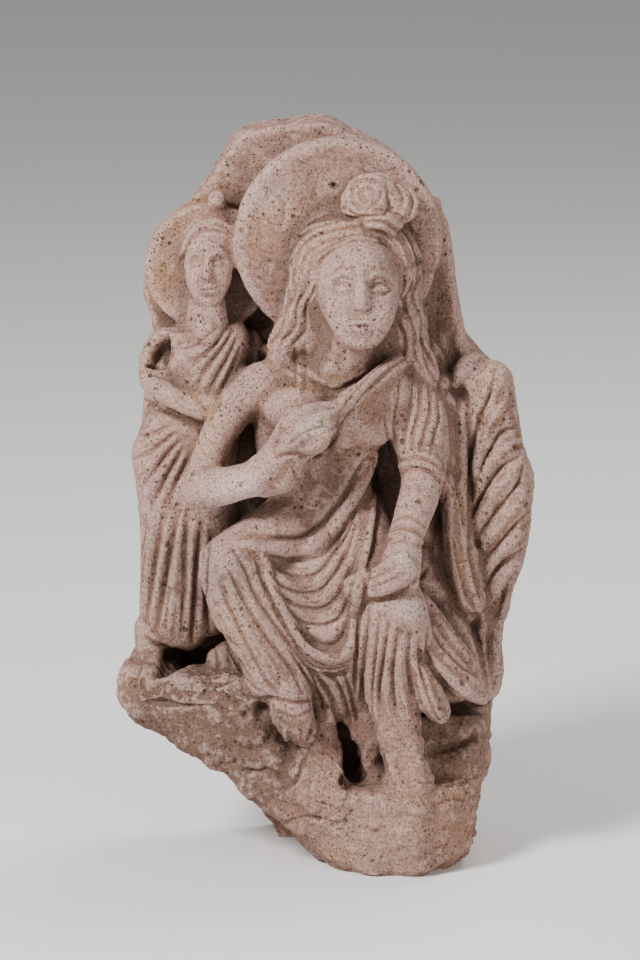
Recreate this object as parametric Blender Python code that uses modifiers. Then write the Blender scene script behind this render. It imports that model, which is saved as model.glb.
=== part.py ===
"""Stucco relief of a seated, haloed bodhisattva with one attendant, broken from a wall frieze.

It is one cast piece: a back slab, two haloes, the two figures, a twisted trunk and a broken
plinth, all of the same lime stucco. Places are read from an elevation drawing seen from a
little above: x across, h up the drawing and y in depth, all in drawn millimetres.
The relief faces -Y, its back is flat, and it stands on its broken underside.
"""

import math

import bmesh
import bpy
import numpy as np
from mathutils import Euler, Matrix, Vector
from mathutils.bvhtree import BVHTree

# Driving dimensions, in metres
RELIEF_HEIGHT = 0.380
BACK_DEPTH = 0.042
SLAB_THICKNESS = 0.026
HALO_RADIUS = 0.0515
HALO_THICKNESS = 0.012
ATTENDANT_HALO_RADIUS = 0.032
CLAY_GRAIN = 0.0017
BACK_WASTE = 0.002

# The elevation drawing: 380 drawn millimetres high, seen from 12 degrees above level
DRAWN_HEIGHT = 380
LOOK_DOWN = math.radians(12)
FOOT_FRONT = 55
UNIT = RELIEF_HEIGHT / DRAWN_HEIGHT
MOST_TRIANGLES = 9600

for old in list(bpy.data.objects):
    bpy.data.objects.remove(old, do_unlink=True)

made_of = bpy.data.collections.new("stucco relief")
bpy.context.scene.collection.children.link(made_of)


def at(x, h, y):
    """The place in the relief of a point of the drawing."""
    height = (h - (y + FOOT_FRONT) * math.sin(LOOK_DOWN)) / math.cos(LOOK_DOWN)
    return Vector((x, y, height)) * UNIT


def add_object(clay, thing):
    """Joins the evaluated mesh of an object to the clay and removes the object."""
    made_of.objects.link(thing)
    bpy.context.view_layer.update()
    seen = thing.evaluated_get(bpy.context.evaluated_depsgraph_get())
    mesh = bpy.data.meshes.new_from_object(seen)
    mesh.transform(thing.matrix_world)
    clay.from_mesh(mesh)
    bpy.data.meshes.remove(mesh)
    bpy.data.objects.remove(thing)


def ball(clay, place, radii, roll=0, pitch=0, yaw=0):
    """An ellipsoid: radii across, in depth and upright, in drawn millimetres; angles in degrees."""
    turn = Euler([math.radians(a) for a in (pitch, roll, yaw)]).to_matrix().to_4x4()
    size = Matrix.Diagonal([r * UNIT for r in radii] + [1])
    bmesh.ops.create_uvsphere(
        clay, u_segments=20, v_segments=12, radius=1, matrix=Matrix.Translation(at(*place)) @ turn @ size
    )


def lump(clay, *balls):
    """The body stretched over balls of (x, h, y, radius)."""
    skin = bmesh.new()
    for x, h, y, radius in balls:
        bmesh.ops.create_icosphere(
            skin, subdivisions=2, radius=radius * UNIT, matrix=Matrix.Translation(at(x, h, y))
        )
    bmesh.ops.delete(skin, geom=skin.edges[:], context="EDGES_FACES")
    made = bmesh.ops.convex_hull(skin, input=skin.verts[:])
    inner = {v for v in made["geom_interior"] + made["geom_unused"] if isinstance(v, bmesh.types.BMVert)}
    bmesh.ops.delete(skin, geom=list(inner), context="VERTS")
    bmesh.ops.recalc_face_normals(skin, faces=skin.faces[:])
    mesh = bpy.data.meshes.new("lump")
    skin.to_mesh(mesh)
    skin.free()
    clay.from_mesh(mesh)
    bpy.data.meshes.remove(mesh)


def limb(clay, *balls):
    """A round limb through balls of (x, h, y, radius), one after another."""
    for near, far in zip(balls, balls[1:]):
        lump(clay, near, far)


def tubes(clay, strokes):
    """Tapering rolls of clay through points of (place, radius in metres)."""
    wire = bpy.data.curves.new("rolls", "CURVE")
    wire.dimensions = "3D"
    wire.bevel_depth = 1
    wire.bevel_resolution = 3
    wire.resolution_u = 5
    wire.use_fill_caps = True
    for stroke in strokes:
        line = wire.splines.new("BEZIER")
        line.bezier_points.add(len(stroke) - 1)
        line.radius_interpolation = "CARDINAL"
        for point, (place, radius) in zip(line.bezier_points, stroke):
            point.co = place
            point.radius = radius
            point.handle_left_type = point.handle_right_type = "AUTO"
    add_object(clay, bpy.data.objects.new("rolls", wire))


def roll(clay, *points):
    """One tapering roll through points of (x, h, y, radius) in the drawing."""
    tubes(clay, [[(at(x, h, y), radius * UNIT) for x, h, y, radius in points]])


def plate(clay, outline, front, back, seen_at):
    """An upright plate between two depths in metres, its outline drawn as seen at one depth."""
    shape = bpy.data.curves.new("plate", "CURVE")
    shape.dimensions = "2D"
    shape.fill_mode = "BOTH"
    shape.extrude = (back - front) / 2
    edge = shape.splines.new("BEZIER")
    edge.bezier_points.add(len(outline) - 1)
    edge.use_cyclic_u = True
    for point, (x, h) in zip(edge.bezier_points, outline):
        place = at(x, h, seen_at)
        point.co = (place.x, place.z, 0)
        point.handle_left_type = point.handle_right_type = "AUTO"
    board = bpy.data.objects.new("plate", shape)
    board.rotation_euler.x = math.radians(90)
    board.location.y = (front + back) / 2
    add_object(clay, board)


def disc(clay, x, h, y, radius, front, back):
    """An upright round plate between two depths in metres."""
    middle = at(x, h, y)
    middle.y = (front + back) / 2
    bmesh.ops.create_cone(
        clay, cap_ends=True, segments=56, radius1=radius, radius2=radius, depth=back - front,
        matrix=Matrix.Translation(middle) @ Matrix.Rotation(math.radians(90), 4, "X"),
    )


SLAB_FRONT = BACK_DEPTH - SLAB_THICKNESS
clay = bmesh.new()

# Back slab: pointed at the top and broken all round
slab = [
    (-93, 298), (-91, 308), (-85, 321), (-76, 332), (-66, 344), (-58, 354), (-51, 366), (-45, 373),
    (-30, 377), (-14, 379), (0, 379), (8, 375), (24, 367), (37, 357), (49, 341), (55, 325),
    (61, 309), (60, 293), (65, 277), (75, 264), (85, 252), (90, 236), (94, 216), (102, 205),
    (102, 190), (99, 165), (93, 146), (90, 132), (86, 120), (86, 104), (82, 84), (78, 62),
    (74, 40), (72, 8), (40, -6), (-12, 0), (-25, 17), (-33, 32), (-42, 48), (-60, 72), (-90, 92),
    (-98, 112), (-92, 130), (-93, 150), (-96, 185), (-98, 210), (-91, 240), (-91, 258), (-88, 272),
]
plate(clay, slab, SLAB_FRONT, BACK_DEPTH + BACK_WASTE, BACK_DEPTH / UNIT)
halo_front = SLAB_FRONT - 0.024
disc(clay, 4, 315, -4, HALO_RADIUS, halo_front, halo_front + HALO_THICKNESS)
lump(clay, (-8, 332, 14, 22), (18, 332, 14, 24), (8, 290, 14, 18), (36, 300, 14, 14), (30, 270, 14, 16))
lump(clay, (38, 300, 10, 12), (50, 275, 12, 10), (56, 252, 12, 10), (50, 240, 12, 14))
lump(clay, (44, 334, 10, 8), (52, 322, 12, 8), (55, 300, 12, 8), (58, 270, 12, 8), (44, 290, 8, 10))
roll(clay, (51, 336, 8, 4), (57, 312, 8, 4), (60, 290, 8, 4), (65, 266, 6, 4), (68, 256, 6, 4))
disc(clay, -60, 303, 10, ATTENDANT_HALO_RADIUS, SLAB_FRONT - 0.011, SLAB_FRONT + 0.004)
ball(clay, (-56, 336, 5), (5, 5, 5))

# Plinth: the attendant's ledge at left, the slope in the middle and the foot block at right.
# Its broken underside climbs to the left, so only its right half reaches the ground.
lump(clay, (-101, 98, -24, 6), (-101, 87, -22, 6), (-62, 94, -38, 6), (-40, 92, -40, 6), (-62, 68, -34, 8),
     (-46, 54, -38, 8), (-90, 78, -18, 7), (-96, 106, 30, 6), (-92, 92, 30, 6), (-40, 104, 30, 6), (-46, 66, 30, 8))
lump(clay, (-46, 84, -36, 7), (-50, 58, -36, 8), (-42, 48, -38, 6), (-30, 58, -36, 7), (-26, 34, -38, 7),
     (-12, 30, -44, 6), (-16, 48, -38, 6), (-44, 100, 30, 6), (-34, 42, 30, 8), (0, 90, 30, 6), (0, 26, 30, 6))
lump(clay, (-40, 46, -44, 5), (-26, 46, -46, 5), (-32, 36, -42, 5), (-18, 28, -46, 5), (-12, 42, -50, 5), (-20, 30, 0, 8))
lump(clay, (-18, 28, -44, 6), (-4, 42, -54, 6), (2, 12, -48, 6), (10, 36, -56, 6), (8, 9, -50, 6), (-4, 20, -46, 6),
     (-18, 26, 32, 7), (0, 60, 26, 6), (2, 8, -20, 6), (-2, 16, 8, 6))
lump(clay, (6, 38, -54, 6), (8, 9, -50, 6), (26, 32, -58, 6), (24, 6, -54, 6), (42, 34, -60, 6),
     (42, 5, -56, 6), (54, 38, -50, 6), (66, 40, -34, 6), (66, 16, -32, 6), (58, 12, -46, 6), (66, 50, 24, 6),
     (66, 20, 30, 6), (0, 50, 26, 6), (60, 0, 26, 8), (8, -4, -24, 7), (0, 6, 12, 7), (-10, 10, 34, 7), (50, -4, -20, 8))
lump(clay, (66, 24, -24, 6), (70, 50, 0, 6), (72, 74, 6, 6), (76, 90, 20, 7), (68, 20, 30, 6), (50, 70, 10, 8))
lump(clay, (-3, 84, -32, 5), (-10, 66, -42, 6), (-16, 50, -48, 6), (0, 60, -44, 5), (3, 44, -50, 6), (-8, 36, -54, 6), (-6, 70, 0, 8))
lump(clay, (46, 73, -18, 5), (74, 74, -6, 5), (50, 56, -18, 6), (74, 50, -6, 6), (46, 64, 14, 8), (74, 66, 20, 8), (44, 40, -30, 6), (68, 42, -20, 6))
lump(clay, (18, 78, -18, 4), (18, 62, -20, 3), (16, 44, -28, 5), (26, 38, -38, 6), (18, 70, 0, 4))
lump(clay, (5, 72, -12, 5), (9, 50, -17, 7), (4, 44, -20, 6))

# Seated figure: trunk, hips and the fill that joins them to the slab
lump(clay, (-30, 236, -8, 14), (-34, 244, -8, 11), (38, 240, -8, 12), (5, 250, -10, 13), (-12, 222, -16, 16), (14, 222, -16, 15))
lump(clay, (-14, 222, -15, 15), (13, 222, -15, 14), (-5, 198, -15, 16), (6, 198, -15, 15))
lump(clay, (-5, 198, -15, 16), (6, 198, -15, 15), (-16, 176, -14, 19), (6, 176, -16, 17))
lump(clay, (-30, 240, 12, 10), (36, 240, 12, 12), (-24, 170, 12, 14), (28, 170, 12, 12), (-20, 100, 14, 12), (34, 100, 14, 12))
ball(clay, (-17, 231, -25), (16, 9, 12))
ball(clay, (15, 231, -25), (15, 9, 12))

# Neck, head and hair; the face turns a little to the right of the view
limb(clay, (5, 246, -10, 17), (10, 262, -15, 14.5), (12, 274, -18, 15))
lump(clay, (-4, 249, -13, 8), (24, 249, -13, 8), (2, 258, -12, 8), (18, 258, -12, 8), (12, 268, -14, 9))
lump(clay, (24, 250, -12, 7), (41, 252, -10, 8), (40, 236, -14, 8))
ball(clay, (14, 291, -26), (20.5, 20, 27), roll=-3)
lump(clay, (9, 275, -33, 9), (22, 275, -33, 9), (16, 269, -37, 8.5))
ball(clay, (12, 299, -12), (31, 20, 30))
lump(clay, (-20, 262, 6, 12), (42, 262, 6, 14), (-10, 290, 4, 12), (36, 290, 4, 12))
lump(clay, (-6, 282, -14, 9), (-12, 268, -12, 8), (-4, 260, -10, 8), (30, 278, -14, 8), (34, 262, -13, 9), (14, 262, -10, 8))
limb(clay, (-11, 300, -14, 9), (-14, 286, -15, 8), (-18, 274, -12, 9), (-22, 264, -10, 9), (-24, 256, -10, 8))
limb(clay, (36, 298, -10, 9), (38, 284, -12, 8), (39, 270, -14, 9), (43, 258, -14, 9), (48, 248, -12, 7))
lump(clay, (13, 334, -18, 8.5), (23, 337, -21, 11.5), (24, 327, -18, 11))
ball(clay, (35, 332, -20), (9, 9, 9.5))

# Right arm: bent, the hand held before the breast
limb(clay, (-34, 243, -10, 13), (-48, 232, -16, 11), (-55, 220, -22, 9), (-61, 204, -31, 9), (-63, 193, -37, 10))
limb(clay, (-63, 192, -38, 11), (-50, 194, -45, 9.5), (-38, 197, -49, 9), (-28, 206, -51, 8.5), (-24, 211, -51, 8))
lump(clay, (-26, 208, -51, 8), (-18, 214, -53, 8), (-6, 217, -52, 7), (-4, 226, -51, 6), (-18, 227, -51, 6), (-10, 216, -40, 8))
limb(clay, (-6, 226, -51, 6), (2, 231, -48, 4.5), (8, 235, -44, 4.5), (18, 243, -36, 4.5), (30, 252, -26, 5), (38, 258, -18, 5))
lump(clay, (4, 228, -42, 4), (18, 241, -34, 4), (30, 250, -24, 4), (40, 240, -16, 6), (24, 218, -24, 5), (6, 216, -28, 6))
lump(clay, (-18, 230, -22, 9), (-8, 216, -16, 12), (-28, 240, -12, 10))
lump(clay, (-32, 195, -46, 7.5), (-24, 197, -48, 7.5), (-19, 207, -50, 7.5))

# Left arm under its sleeve, the hand resting on the knee
lump(clay, (40, 242, -8, 13), (36, 230, -12, 10), (48, 226, -14, 11), (42, 212, -20, 10), (50, 210, -18, 10))
limb(clay, (46, 206, -20, 13), (46, 198, -24, 11), (44, 188, -28, 10.5), (40, 176, -36, 9.5), (37, 168, -42, 9))
lump(clay, (37, 164, -45, 8.5), (36, 150, -52, 8), (30, 152, -54, 7), (34, 158, -51, 8), (38, 148, -50, 7))
lump(clay, (30, 147, -55, 7), (22, 145, -54, 6), (12, 144, -52, 6), (32, 152, -54, 6), (14, 140, -48, 6))

# Legs: thighs and shins under the robe, the cloth between them, and the feet
limb(clay, (-16, 174, -14, 20), (-34, 164, -34, 17), (-49, 155, -46, 16), (-49, 150, -46, 16))
lump(clay, (-49, 150, -46, 16), (-44, 132, -46, 15), (-20, 140, -36, 14), (-16, 118, -38, 12), (-34, 112, -44, 12))
lump(clay, (-34, 116, -44, 13), (-16, 114, -38, 12), (-30, 98, -42, 11), (-10, 98, -34, 9), (-32, 96, -42, 10))
limb(clay, (-22, 94, -42, 12.5), (-19, 83, -46, 11), (-17, 75, -50, 10), (-15, 71, -52, 7))
lump(clay, (-34, 84, -30, 7), (-35, 70, -34, 8), (-27, 72, -32, 7), (-31, 80, -38, 5))
limb(clay, (12, 174, -14, 20), (24, 150, -36, 17), (32, 130, -46, 17))
lump(clay, (32, 130, -46, 17), (24, 112, -44, 9), (44, 112, -40, 10), (25, 92, -42, 8), (36, 88, -42, 10))
lump(clay, (24, 90, -42, 7), (36, 88, -42, 9), (34, 66, -42, 9), (38, 52, -46, 9))
lump(clay, (37, 56, -46, 10), (40, 42, -52, 11), (36, 34, -56, 8), (46, 34, -54, 7), (30, 42, -48, 6))
lump(clay, (-36, 148, -36, 12), (-8, 154, -28, 18), (14, 150, -30, 15), (-14, 112, -38, 11), (12, 116, -38, 10), (4, 100, -38, 6))
lump(clay, (-30, 150, -20, 14), (18, 150, -20, 12), (-30, 100, -16, 12), (24, 100, -20, 14), (-20, 96, 10, 10), (30, 80, 10, 10))
lump(clay, (-16, 104, -34, 8), (8, 96, -34, 6), (-6, 84, -30, 6), (16, 110, -34, 8), (16, 80, -26, 5), (4, 84, -20, 6), (14, 84, -10, 6))

# Hem of the robe in three lobes to the right of the shin
limb(clay, (36, 122, -42, 9), (44, 102, -46, 8), (49, 90, -48, 8), (54, 82, -47, 6.5))
limb(clay, (40, 126, -38, 9), (56, 106, -40, 9), (67, 94, -38, 7), (76, 88, -34, 4))
limb(clay, (42, 134, -30, 9), (58, 114, -32, 8), (68, 104, -30, 6))
lump(clay, (40, 124, -26, 12), (60, 122, -14, 10), (54, 94, -30, 8), (72, 94, -24, 5), (50, 90, 10, 10), (74, 94, 10, 8))
lump(clay, (78, 128, 0, 8), (80, 104, -4, 8), (78, 92, -6, 7), (74, 128, 14, 10), (78, 96, 14, 10))

# Scarf that falls from the forearm to the right of the gap, and the column behind it
limb(clay, (57, 196, -14, 5), (60, 178, -16, 5), (62, 158, -18, 6), (67, 140, -20, 6), (70, 136, -20, 6))
lump(clay, (62, 196, -4, 6), (66, 160, -8, 7), (72, 136, -12, 6), (62, 196, 14, 8), (74, 132, 14, 10))
lump(clay, (55, 190, -2, 4), (51, 162, -12, 6), (55, 140, -14, 7), (64, 150, -4, 6))
lump(clay, (52, 240, 2, 13), (64, 226, 6, 9), (60, 200, 2, 10), (64, 160, 4, 10), (66, 196, 6, 8), (70, 124, 6, 12))
lump(clay, (48, 236, -4, 10), (54, 222, -8, 8), (56, 204, -10, 6), (54, 226, 10, 10), (60, 200, 10, 8))

# Twisted trunk at the right edge, leaning out, with its stump at the top
lump(clay, (72, 246, 4, 11), (81, 246, 2, 11), (82, 232, 4, 12), (76, 216, 4, 9), (84, 214, 4, 13))
lump(clay, (84, 214, 4, 12), (90, 200, 2, 12), (88, 182, 2, 13), (78, 196, 2, 10), (80, 170, 0, 11), (78, 160, 2, 10))
lump(clay, (88, 182, 2, 13), (86, 164, 2, 12), (78, 160, 2, 10), (80, 146, 4, 11), (78, 128, 4, 10))

# Attendant: head, neck, trunk, arm, skirt and feet, standing on the ledge
lump(clay, (-60, 312, 1, 12), (-60, 302, -2, 12), (-60, 292, -4, 9.5), (-60, 288, -5, 7))
ball(clay, (-59, 314, 4), (15, 13, 15))
limb(clay, (-62, 284, 2, 9), (-64, 270, 4, 10))
lump(clay, (-80, 264, 4, 9), (-50, 266, 4, 11), (-62, 244, -3, 15), (-76, 238, -2, 10), (-60, 224, -2, 14))
lump(clay, (-58, 226, -2, 14), (-80, 224, -2, 12), (-60, 204, 0, 14), (-87, 208, 0, 13))
lump(clay, (-87, 210, 0, 13), (-62, 206, 0, 14), (-84, 176, -2, 11), (-64, 176, -4, 12), (-56, 170, 2, 12))
lump(clay, (-84, 178, -2, 11), (-66, 176, -4, 12), (-86, 146, -3, 9), (-70, 140, -6, 10), (-56, 146, 2, 12), (-88, 130, -4, 8))
lump(clay, (-88, 134, -4, 8), (-74, 136, -8, 9), (-54, 140, 0, 10), (-84, 120, -6, 7), (-72, 117, -8, 7), (-56, 128, -4, 8))
limb(clay, (-83, 264, 2, 9), (-88, 256, -2, 8), (-88, 247, -8, 7.5), (-80, 239, -14, 6), (-68, 235, -17, 5.5), (-60, 234, -18, 6))
lump(clay, (-80, 262, 12, 12), (-44, 262, 12, 12), (-86, 210, 12, 10), (-40, 210, 12, 12), (-84, 120, 12, 10), (-40, 120, 12, 12))
limb(clay, (-91, 122, -4, 8), (-90, 106, -10, 7), (-90, 98, -18, 7), (-82, 95, -26, 5))
lump(clay, (-56, 106, -12, 7), (-50, 98, -20, 8), (-50, 110, -6, 7), (-44, 98, -12, 8), (-54, 94, -26, 6))


def settled(clay, name, grain, smoothing):
    """One continuous body of the clay: voxel-remeshed at a grain, smoothed, loose bubbles dropped."""
    mesh = bpy.data.meshes.new(name)
    clay.to_mesh(mesh)
    clay.free()
    body = bpy.data.objects.new(name, mesh)
    made_of.objects.link(body)
    remesh = body.modifiers.new("one body", "REMESH")
    remesh.mode = "VOXEL"
    remesh.voxel_size = grain
    soft = body.modifiers.new("soften", "SMOOTH")
    soft.factor = 0.5
    soft.iterations = smoothing
    whole = bpy.data.meshes.new_from_object(body.evaluated_get(bpy.context.evaluated_depsgraph_get()))
    bpy.data.objects.remove(body)
    bpy.data.meshes.remove(mesh)
    skin = bmesh.new()
    skin.from_mesh(whole)
    bpy.data.meshes.remove(whole)
    left = set(skin.verts)
    shells = []
    while left:
        shell = edge = {left.pop()}
        while edge:
            edge = {e.other_vert(v) for v in edge for e in v.link_edges} - shell
            shell = shell | edge
        left -= shell
        shells.append(shell)
    for shell in sorted(shells, key=len)[:-1]:
        bmesh.ops.delete(skin, geom=list(shell), context="VERTS")
    return skin


def along(stroke, step):
    """Points every step millimetres on the smooth line through the points of a stroke."""
    points = [np.array(p, float) for p in stroke]
    ends = [2 * points[0] - points[1]] + points + [2 * points[-1] - points[-2]]
    line = []
    for a, b, c, d in zip(ends, ends[1:], ends[2:], ends[3:]):
        count = max(1, round(float(np.hypot(*(c - b)[:2])) / step))
        for i in range(count):
            t = i / count
            line.append(b + 0.5 * t * (c - a + t * (2 * a - 5 * b + 4 * c - d + t * (3 * (b - c) + d - a))))
    return line + [points[-1]]


def fan(first, last, count):
    """Strokes that change evenly from the first to the last, both of as many points."""
    steps = [i / (count - 1) for i in range(count)]
    return [[tuple(a + (b - a) * t for a, b in zip(p, q)) for p, q in zip(first, last)] for t in steps]


def on_skin(skin, stroke, step=1.5):
    """The places where a stroke drawn in the view falls on the skin, with what else it carries."""
    tree = BVHTree.FromBMesh(skin)
    ahead = Vector((0, math.cos(LOOK_DOWN), -math.sin(LOOK_DOWN)))
    found = []
    for x, h, *rest in along(stroke, step):
        place = tree.ray_cast(at(x, h, -200), ahead)[0]
        if place is not None:
            found.append((place, *rest))
    return found


def model(skin, strokes):
    """Presses strokes of (x, h, half width, depth) into the skin; a negative depth raises them."""
    skin.verts.ensure_lookup_table()
    skin.normal_update()
    co = np.array([v.co[:] for v in skin.verts])
    out = np.array([v.normal[:] for v in skin.verts])
    push = np.zeros(len(co))
    for stroke in strokes:
        line = on_skin(skin, stroke)
        if not line:
            continue
        path = np.array([p[0][:] for p in line])
        width = np.array([p[1] for p in line]) * UNIT
        depth = np.array([p[2] for p in line]) * UNIT
        reach = 2 * width.max()
        near = np.where(((co > path.min(0) - reach) & (co < path.max(0) + reach)).all(1))[0]
        gap = np.linalg.norm(co[near, None] - path[None], axis=2) / width
        closest = gap.argmin(1)
        press = depth[closest] * np.exp(-(gap[np.arange(len(near)), closest] ** 2) * 1.6)
        push[near] = np.where(np.abs(press) > np.abs(push[near]), press, push[near])
    for vert, place in zip(skin.verts, co - out * push[:, None]):
        vert.co = place


skin = settled(clay, "masses", CLAY_GRAIN, 4)

# The folds that show in the round: swags over the lap, the shins' cloth, sleeve, skirt and trunk
folds = fan([(-33, 161, 3, 2), (-23, 153, 3, 3), (-11, 150, 3, 3), (-1, 157, 3, 3), (9, 171, 3, 2)],
            [(-22, 133, 3, 2), (-16, 128, 4, 4), (-6, 124, 4, 5), (3, 129, 4, 4), (12, 148, 3, 2)], 4)
folds += fan([(-49, 162, 3, 2), (-38, 143, 3, 3), (-26, 124, 3, 3), (-12, 106, 3, 3), (-6, 92, 3, 2)],
             [(-52, 138, 3, 1), (-46, 126, 3, 2), (-41, 114, 3, 2), (-36, 103, 3, 2), (-30, 95, 3, 2)], 3)
folds += fan([(18, 130, 3, 2), (17, 114, 3, 3), (16, 98, 3, 3), (15, 84, 3, 2)],
             [(40, 112, 3, 1), (39, 102, 3, 3), (42, 90, 3, 3), (46, 79, 3, 2)], 4)
folds += fan([(33, 247, 3, 1), (33, 233, 3, 2), (30, 220, 3, 2), (33, 208, 3, 1)],
             [(52, 238, 3, 1), (54, 226, 3, 2), (51, 216, 3, 2), (47, 208, 3, 1)], 4)
folds += fan([(-98, 219, 3, 1), (-90, 219, 3, 3), (-81, 222, 3, 2)], [(-80, 190, 3, 1), (-74, 200, 3, 3), (-70, 207, 3, 2)], 4)
folds += fan([(-81, 177, 3, 1), (-82, 155, 3, 4), (-86, 132, 3, 4), (-90, 119, 3, 2)],
             [(-66, 180, 3, 1), (-66, 158, 3, 4), (-67, 132, 3, 4), (-69, 116, 3, 2)], 3)
folds += fan([(-51, 273, 3, 1), (-57, 264, 3, 2), (-64, 258, 3, 1)], [(-46, 266, 3, 2), (-51, 252, 4, 5), (-59, 238, 4, 5)], 3)
folds += fan([(90, 222, 3, 2), (80, 213, 3, 3), (76, 200, 3, 4), (71, 187, 4, 5)],
             [(97, 161, 3, 2), (89, 155, 3, 3), (82, 148, 3, 3), (78, 140, 3, 2)], 4)
folds += [[(81, 242, 3, 2), (77, 230, 3, 4), (72, 214, 4, 6), (70, 198, 4, 6), (71, 186, 4, 4)]]
folds += [[(60, 242, 3, 3), (66, 236, 4, 5)], [(50, 256, 6, 3), (53, 280, 8, 4), (50, 310, 7, 3)]]
model(skin, folds)

# Rolls laid on it: the robe's edge round the waist, the thick lower swag, rims, rings and hair
rolls = [
    [(-42, 166, 3), (-32, 166, 4), (-16, 164, 4), (-4, 169, 4), (7, 182, 4), (14, 195, 4), (21, 206, 3)],
    [(-36, 162, 3), (-29, 145, 3.5), (-21, 130, 3.5), (-12, 116, 4), (-2, 110, 4), (7, 112, 4), (12, 124, 3.5),
     (14, 142, 3), (18, 160, 3), (20, 180, 3), (21, 200, 3)],
    [(34, 201, 3), (40, 204, 3), (50, 202, 3), (58, 196, 3)],
    [(30, 172, 2.5), (37, 175, 2.5), (45, 169, 2.5)],
    [(-6, 314, 4), (0, 318, 5), (12, 319, 5), (26, 318, 5), (34, 312, 4)],
    [(2, 222, 2.5), (10, 232, 3), (18, 242, 3), (27, 251, 3), (36, 258, 3)],
    [(-28, 262, 3), (-12, 249, 2.5), (-4, 243, 2.5), (6, 243, 2.5), (16, 249, 2.5), (22, 254, 2.5)],
    [(-72, 312, 3), (-68, 320, 3.5), (-60, 324, 3.5), (-50, 323, 3)],
]
clay = bmesh.new()
base = bpy.data.meshes.new("base")
skin.to_mesh(base)
clay.from_mesh(base)
bpy.data.meshes.remove(base)
tubes(clay, [[(p, r * UNIT) for p, r in on_skin(skin, stroke, 6)] for stroke in rolls])
skin.free()
skin = settled(clay, "relief", CLAY_GRAIN, 2)

# Fewer, larger facets, then the flat resting face and the flat back
mesh = bpy.data.meshes.new("relief")
skin.to_mesh(mesh)
skin.free()
mesh.calc_loop_triangles()
coarse = bpy.data.objects.new("relief", mesh)
made_of.objects.link(coarse)
fewer = coarse.modifiers.new("fewer facets", "DECIMATE")
fewer.ratio = MOST_TRIANGLES / len(mesh.loop_triangles)
faceted = bpy.data.meshes.new_from_object(coarse.evaluated_get(bpy.context.evaluated_depsgraph_get()))
bpy.data.objects.remove(coarse)
bpy.data.meshes.remove(mesh)
skin = bmesh.new()
skin.from_mesh(faceted)
for place, away in ((Vector((0, 0, 0)), Vector((0, 0, -1))), (Vector((0, BACK_DEPTH, 0)), Vector((0, 1, 0)))):
    for vert in skin.verts:
        rise = (vert.co - place).dot(away)
        if abs(rise) < 0.0008:
            vert.co -= away * rise
    cut = bmesh.ops.bisect_plane(skin, geom=skin.verts[:] + skin.edges[:] + skin.faces[:], dist=1e-6,
                                 plane_co=place, plane_no=away, clear_outer=True)
    rim = [e for e in skin.edges if e.is_boundary]
    bmesh.ops.holes_fill(skin, edges=rim, sides=0)
bmesh.ops.triangulate(skin, faces=[f for f in skin.faces if len(f.verts) > 4])
skin.to_mesh(faceted)
skin.free()

stucco = bpy.data.materials.new("lime stucco")
stucco.use_nodes = True
paint = stucco.node_tree.nodes["Principled BSDF"]
paint.inputs["Base Color"].default_value = (0.47, 0.34, 0.28, 1)
paint.inputs["Roughness"].default_value = 0.9
paint.inputs["Metallic"].default_value = 0
faceted.materials.append(stucco)
relief = bpy.data.objects.new("stucco_relief", faceted)
made_of.objects.link(relief)
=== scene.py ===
"""The looks of a broken stucco relief: a seated, haloed figure with an attendant and a twisted trunk.

Places are drawn as on an elevation seen from 12 degrees above level: x across, h up the drawing
and y in depth, in drawn millimetres, of which the relief is 380 high.
"""

import math

import bmesh
import bpy
import numpy as np
from mathutils import Euler, Matrix, Vector, noise
from mathutils.bvhtree import BVHTree
from mathutils.kdtree import KDTree


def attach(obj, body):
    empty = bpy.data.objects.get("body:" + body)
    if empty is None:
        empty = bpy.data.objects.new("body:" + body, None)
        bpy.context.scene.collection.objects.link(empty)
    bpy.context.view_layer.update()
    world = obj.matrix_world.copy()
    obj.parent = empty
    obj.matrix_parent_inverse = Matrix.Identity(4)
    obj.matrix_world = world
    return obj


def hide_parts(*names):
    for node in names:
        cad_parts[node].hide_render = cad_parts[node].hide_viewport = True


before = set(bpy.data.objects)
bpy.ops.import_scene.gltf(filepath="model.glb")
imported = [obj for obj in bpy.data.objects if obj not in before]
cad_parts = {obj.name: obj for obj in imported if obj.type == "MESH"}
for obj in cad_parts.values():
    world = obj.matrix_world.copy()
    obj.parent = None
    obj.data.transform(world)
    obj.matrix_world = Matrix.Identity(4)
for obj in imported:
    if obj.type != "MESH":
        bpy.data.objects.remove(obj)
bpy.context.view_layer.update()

# The back slab: the wall side of the cast, one plate of lime stucco with a pointed, broken top.
# Everything else was pressed onto it wet, so all the forms are lumps of the same clay, joined here
# in one bmesh and then remeshed into a single body.
RELIEF_HEIGHT = 0.380
BACK_DEPTH = 0.042
SLAB_THICKNESS = 0.026
BACK_WASTE = 0.002
LOOK_DOWN = math.radians(12)
FOOT_FRONT = 55
UNIT = RELIEF_HEIGHT / 380
SLAB_FRONT = BACK_DEPTH - SLAB_THICKNESS
clay = bmesh.new()


def at(x, h, y):
    """The place in the relief of a point of the drawing."""
    height = (h - (y + FOOT_FRONT) * math.sin(LOOK_DOWN)) / math.cos(LOOK_DOWN)
    return Vector((x, y, height)) * UNIT


def press_on(clay, thing):
    """Joins the evaluated mesh of a curve to the clay and removes the curve."""
    bpy.context.scene.collection.objects.link(thing)
    bpy.context.view_layer.update()
    mesh = bpy.data.meshes.new_from_object(thing.evaluated_get(bpy.context.evaluated_depsgraph_get()))
    mesh.transform(thing.matrix_world)
    clay.from_mesh(mesh)
    bpy.data.meshes.remove(mesh)
    bpy.data.objects.remove(thing)


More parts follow.
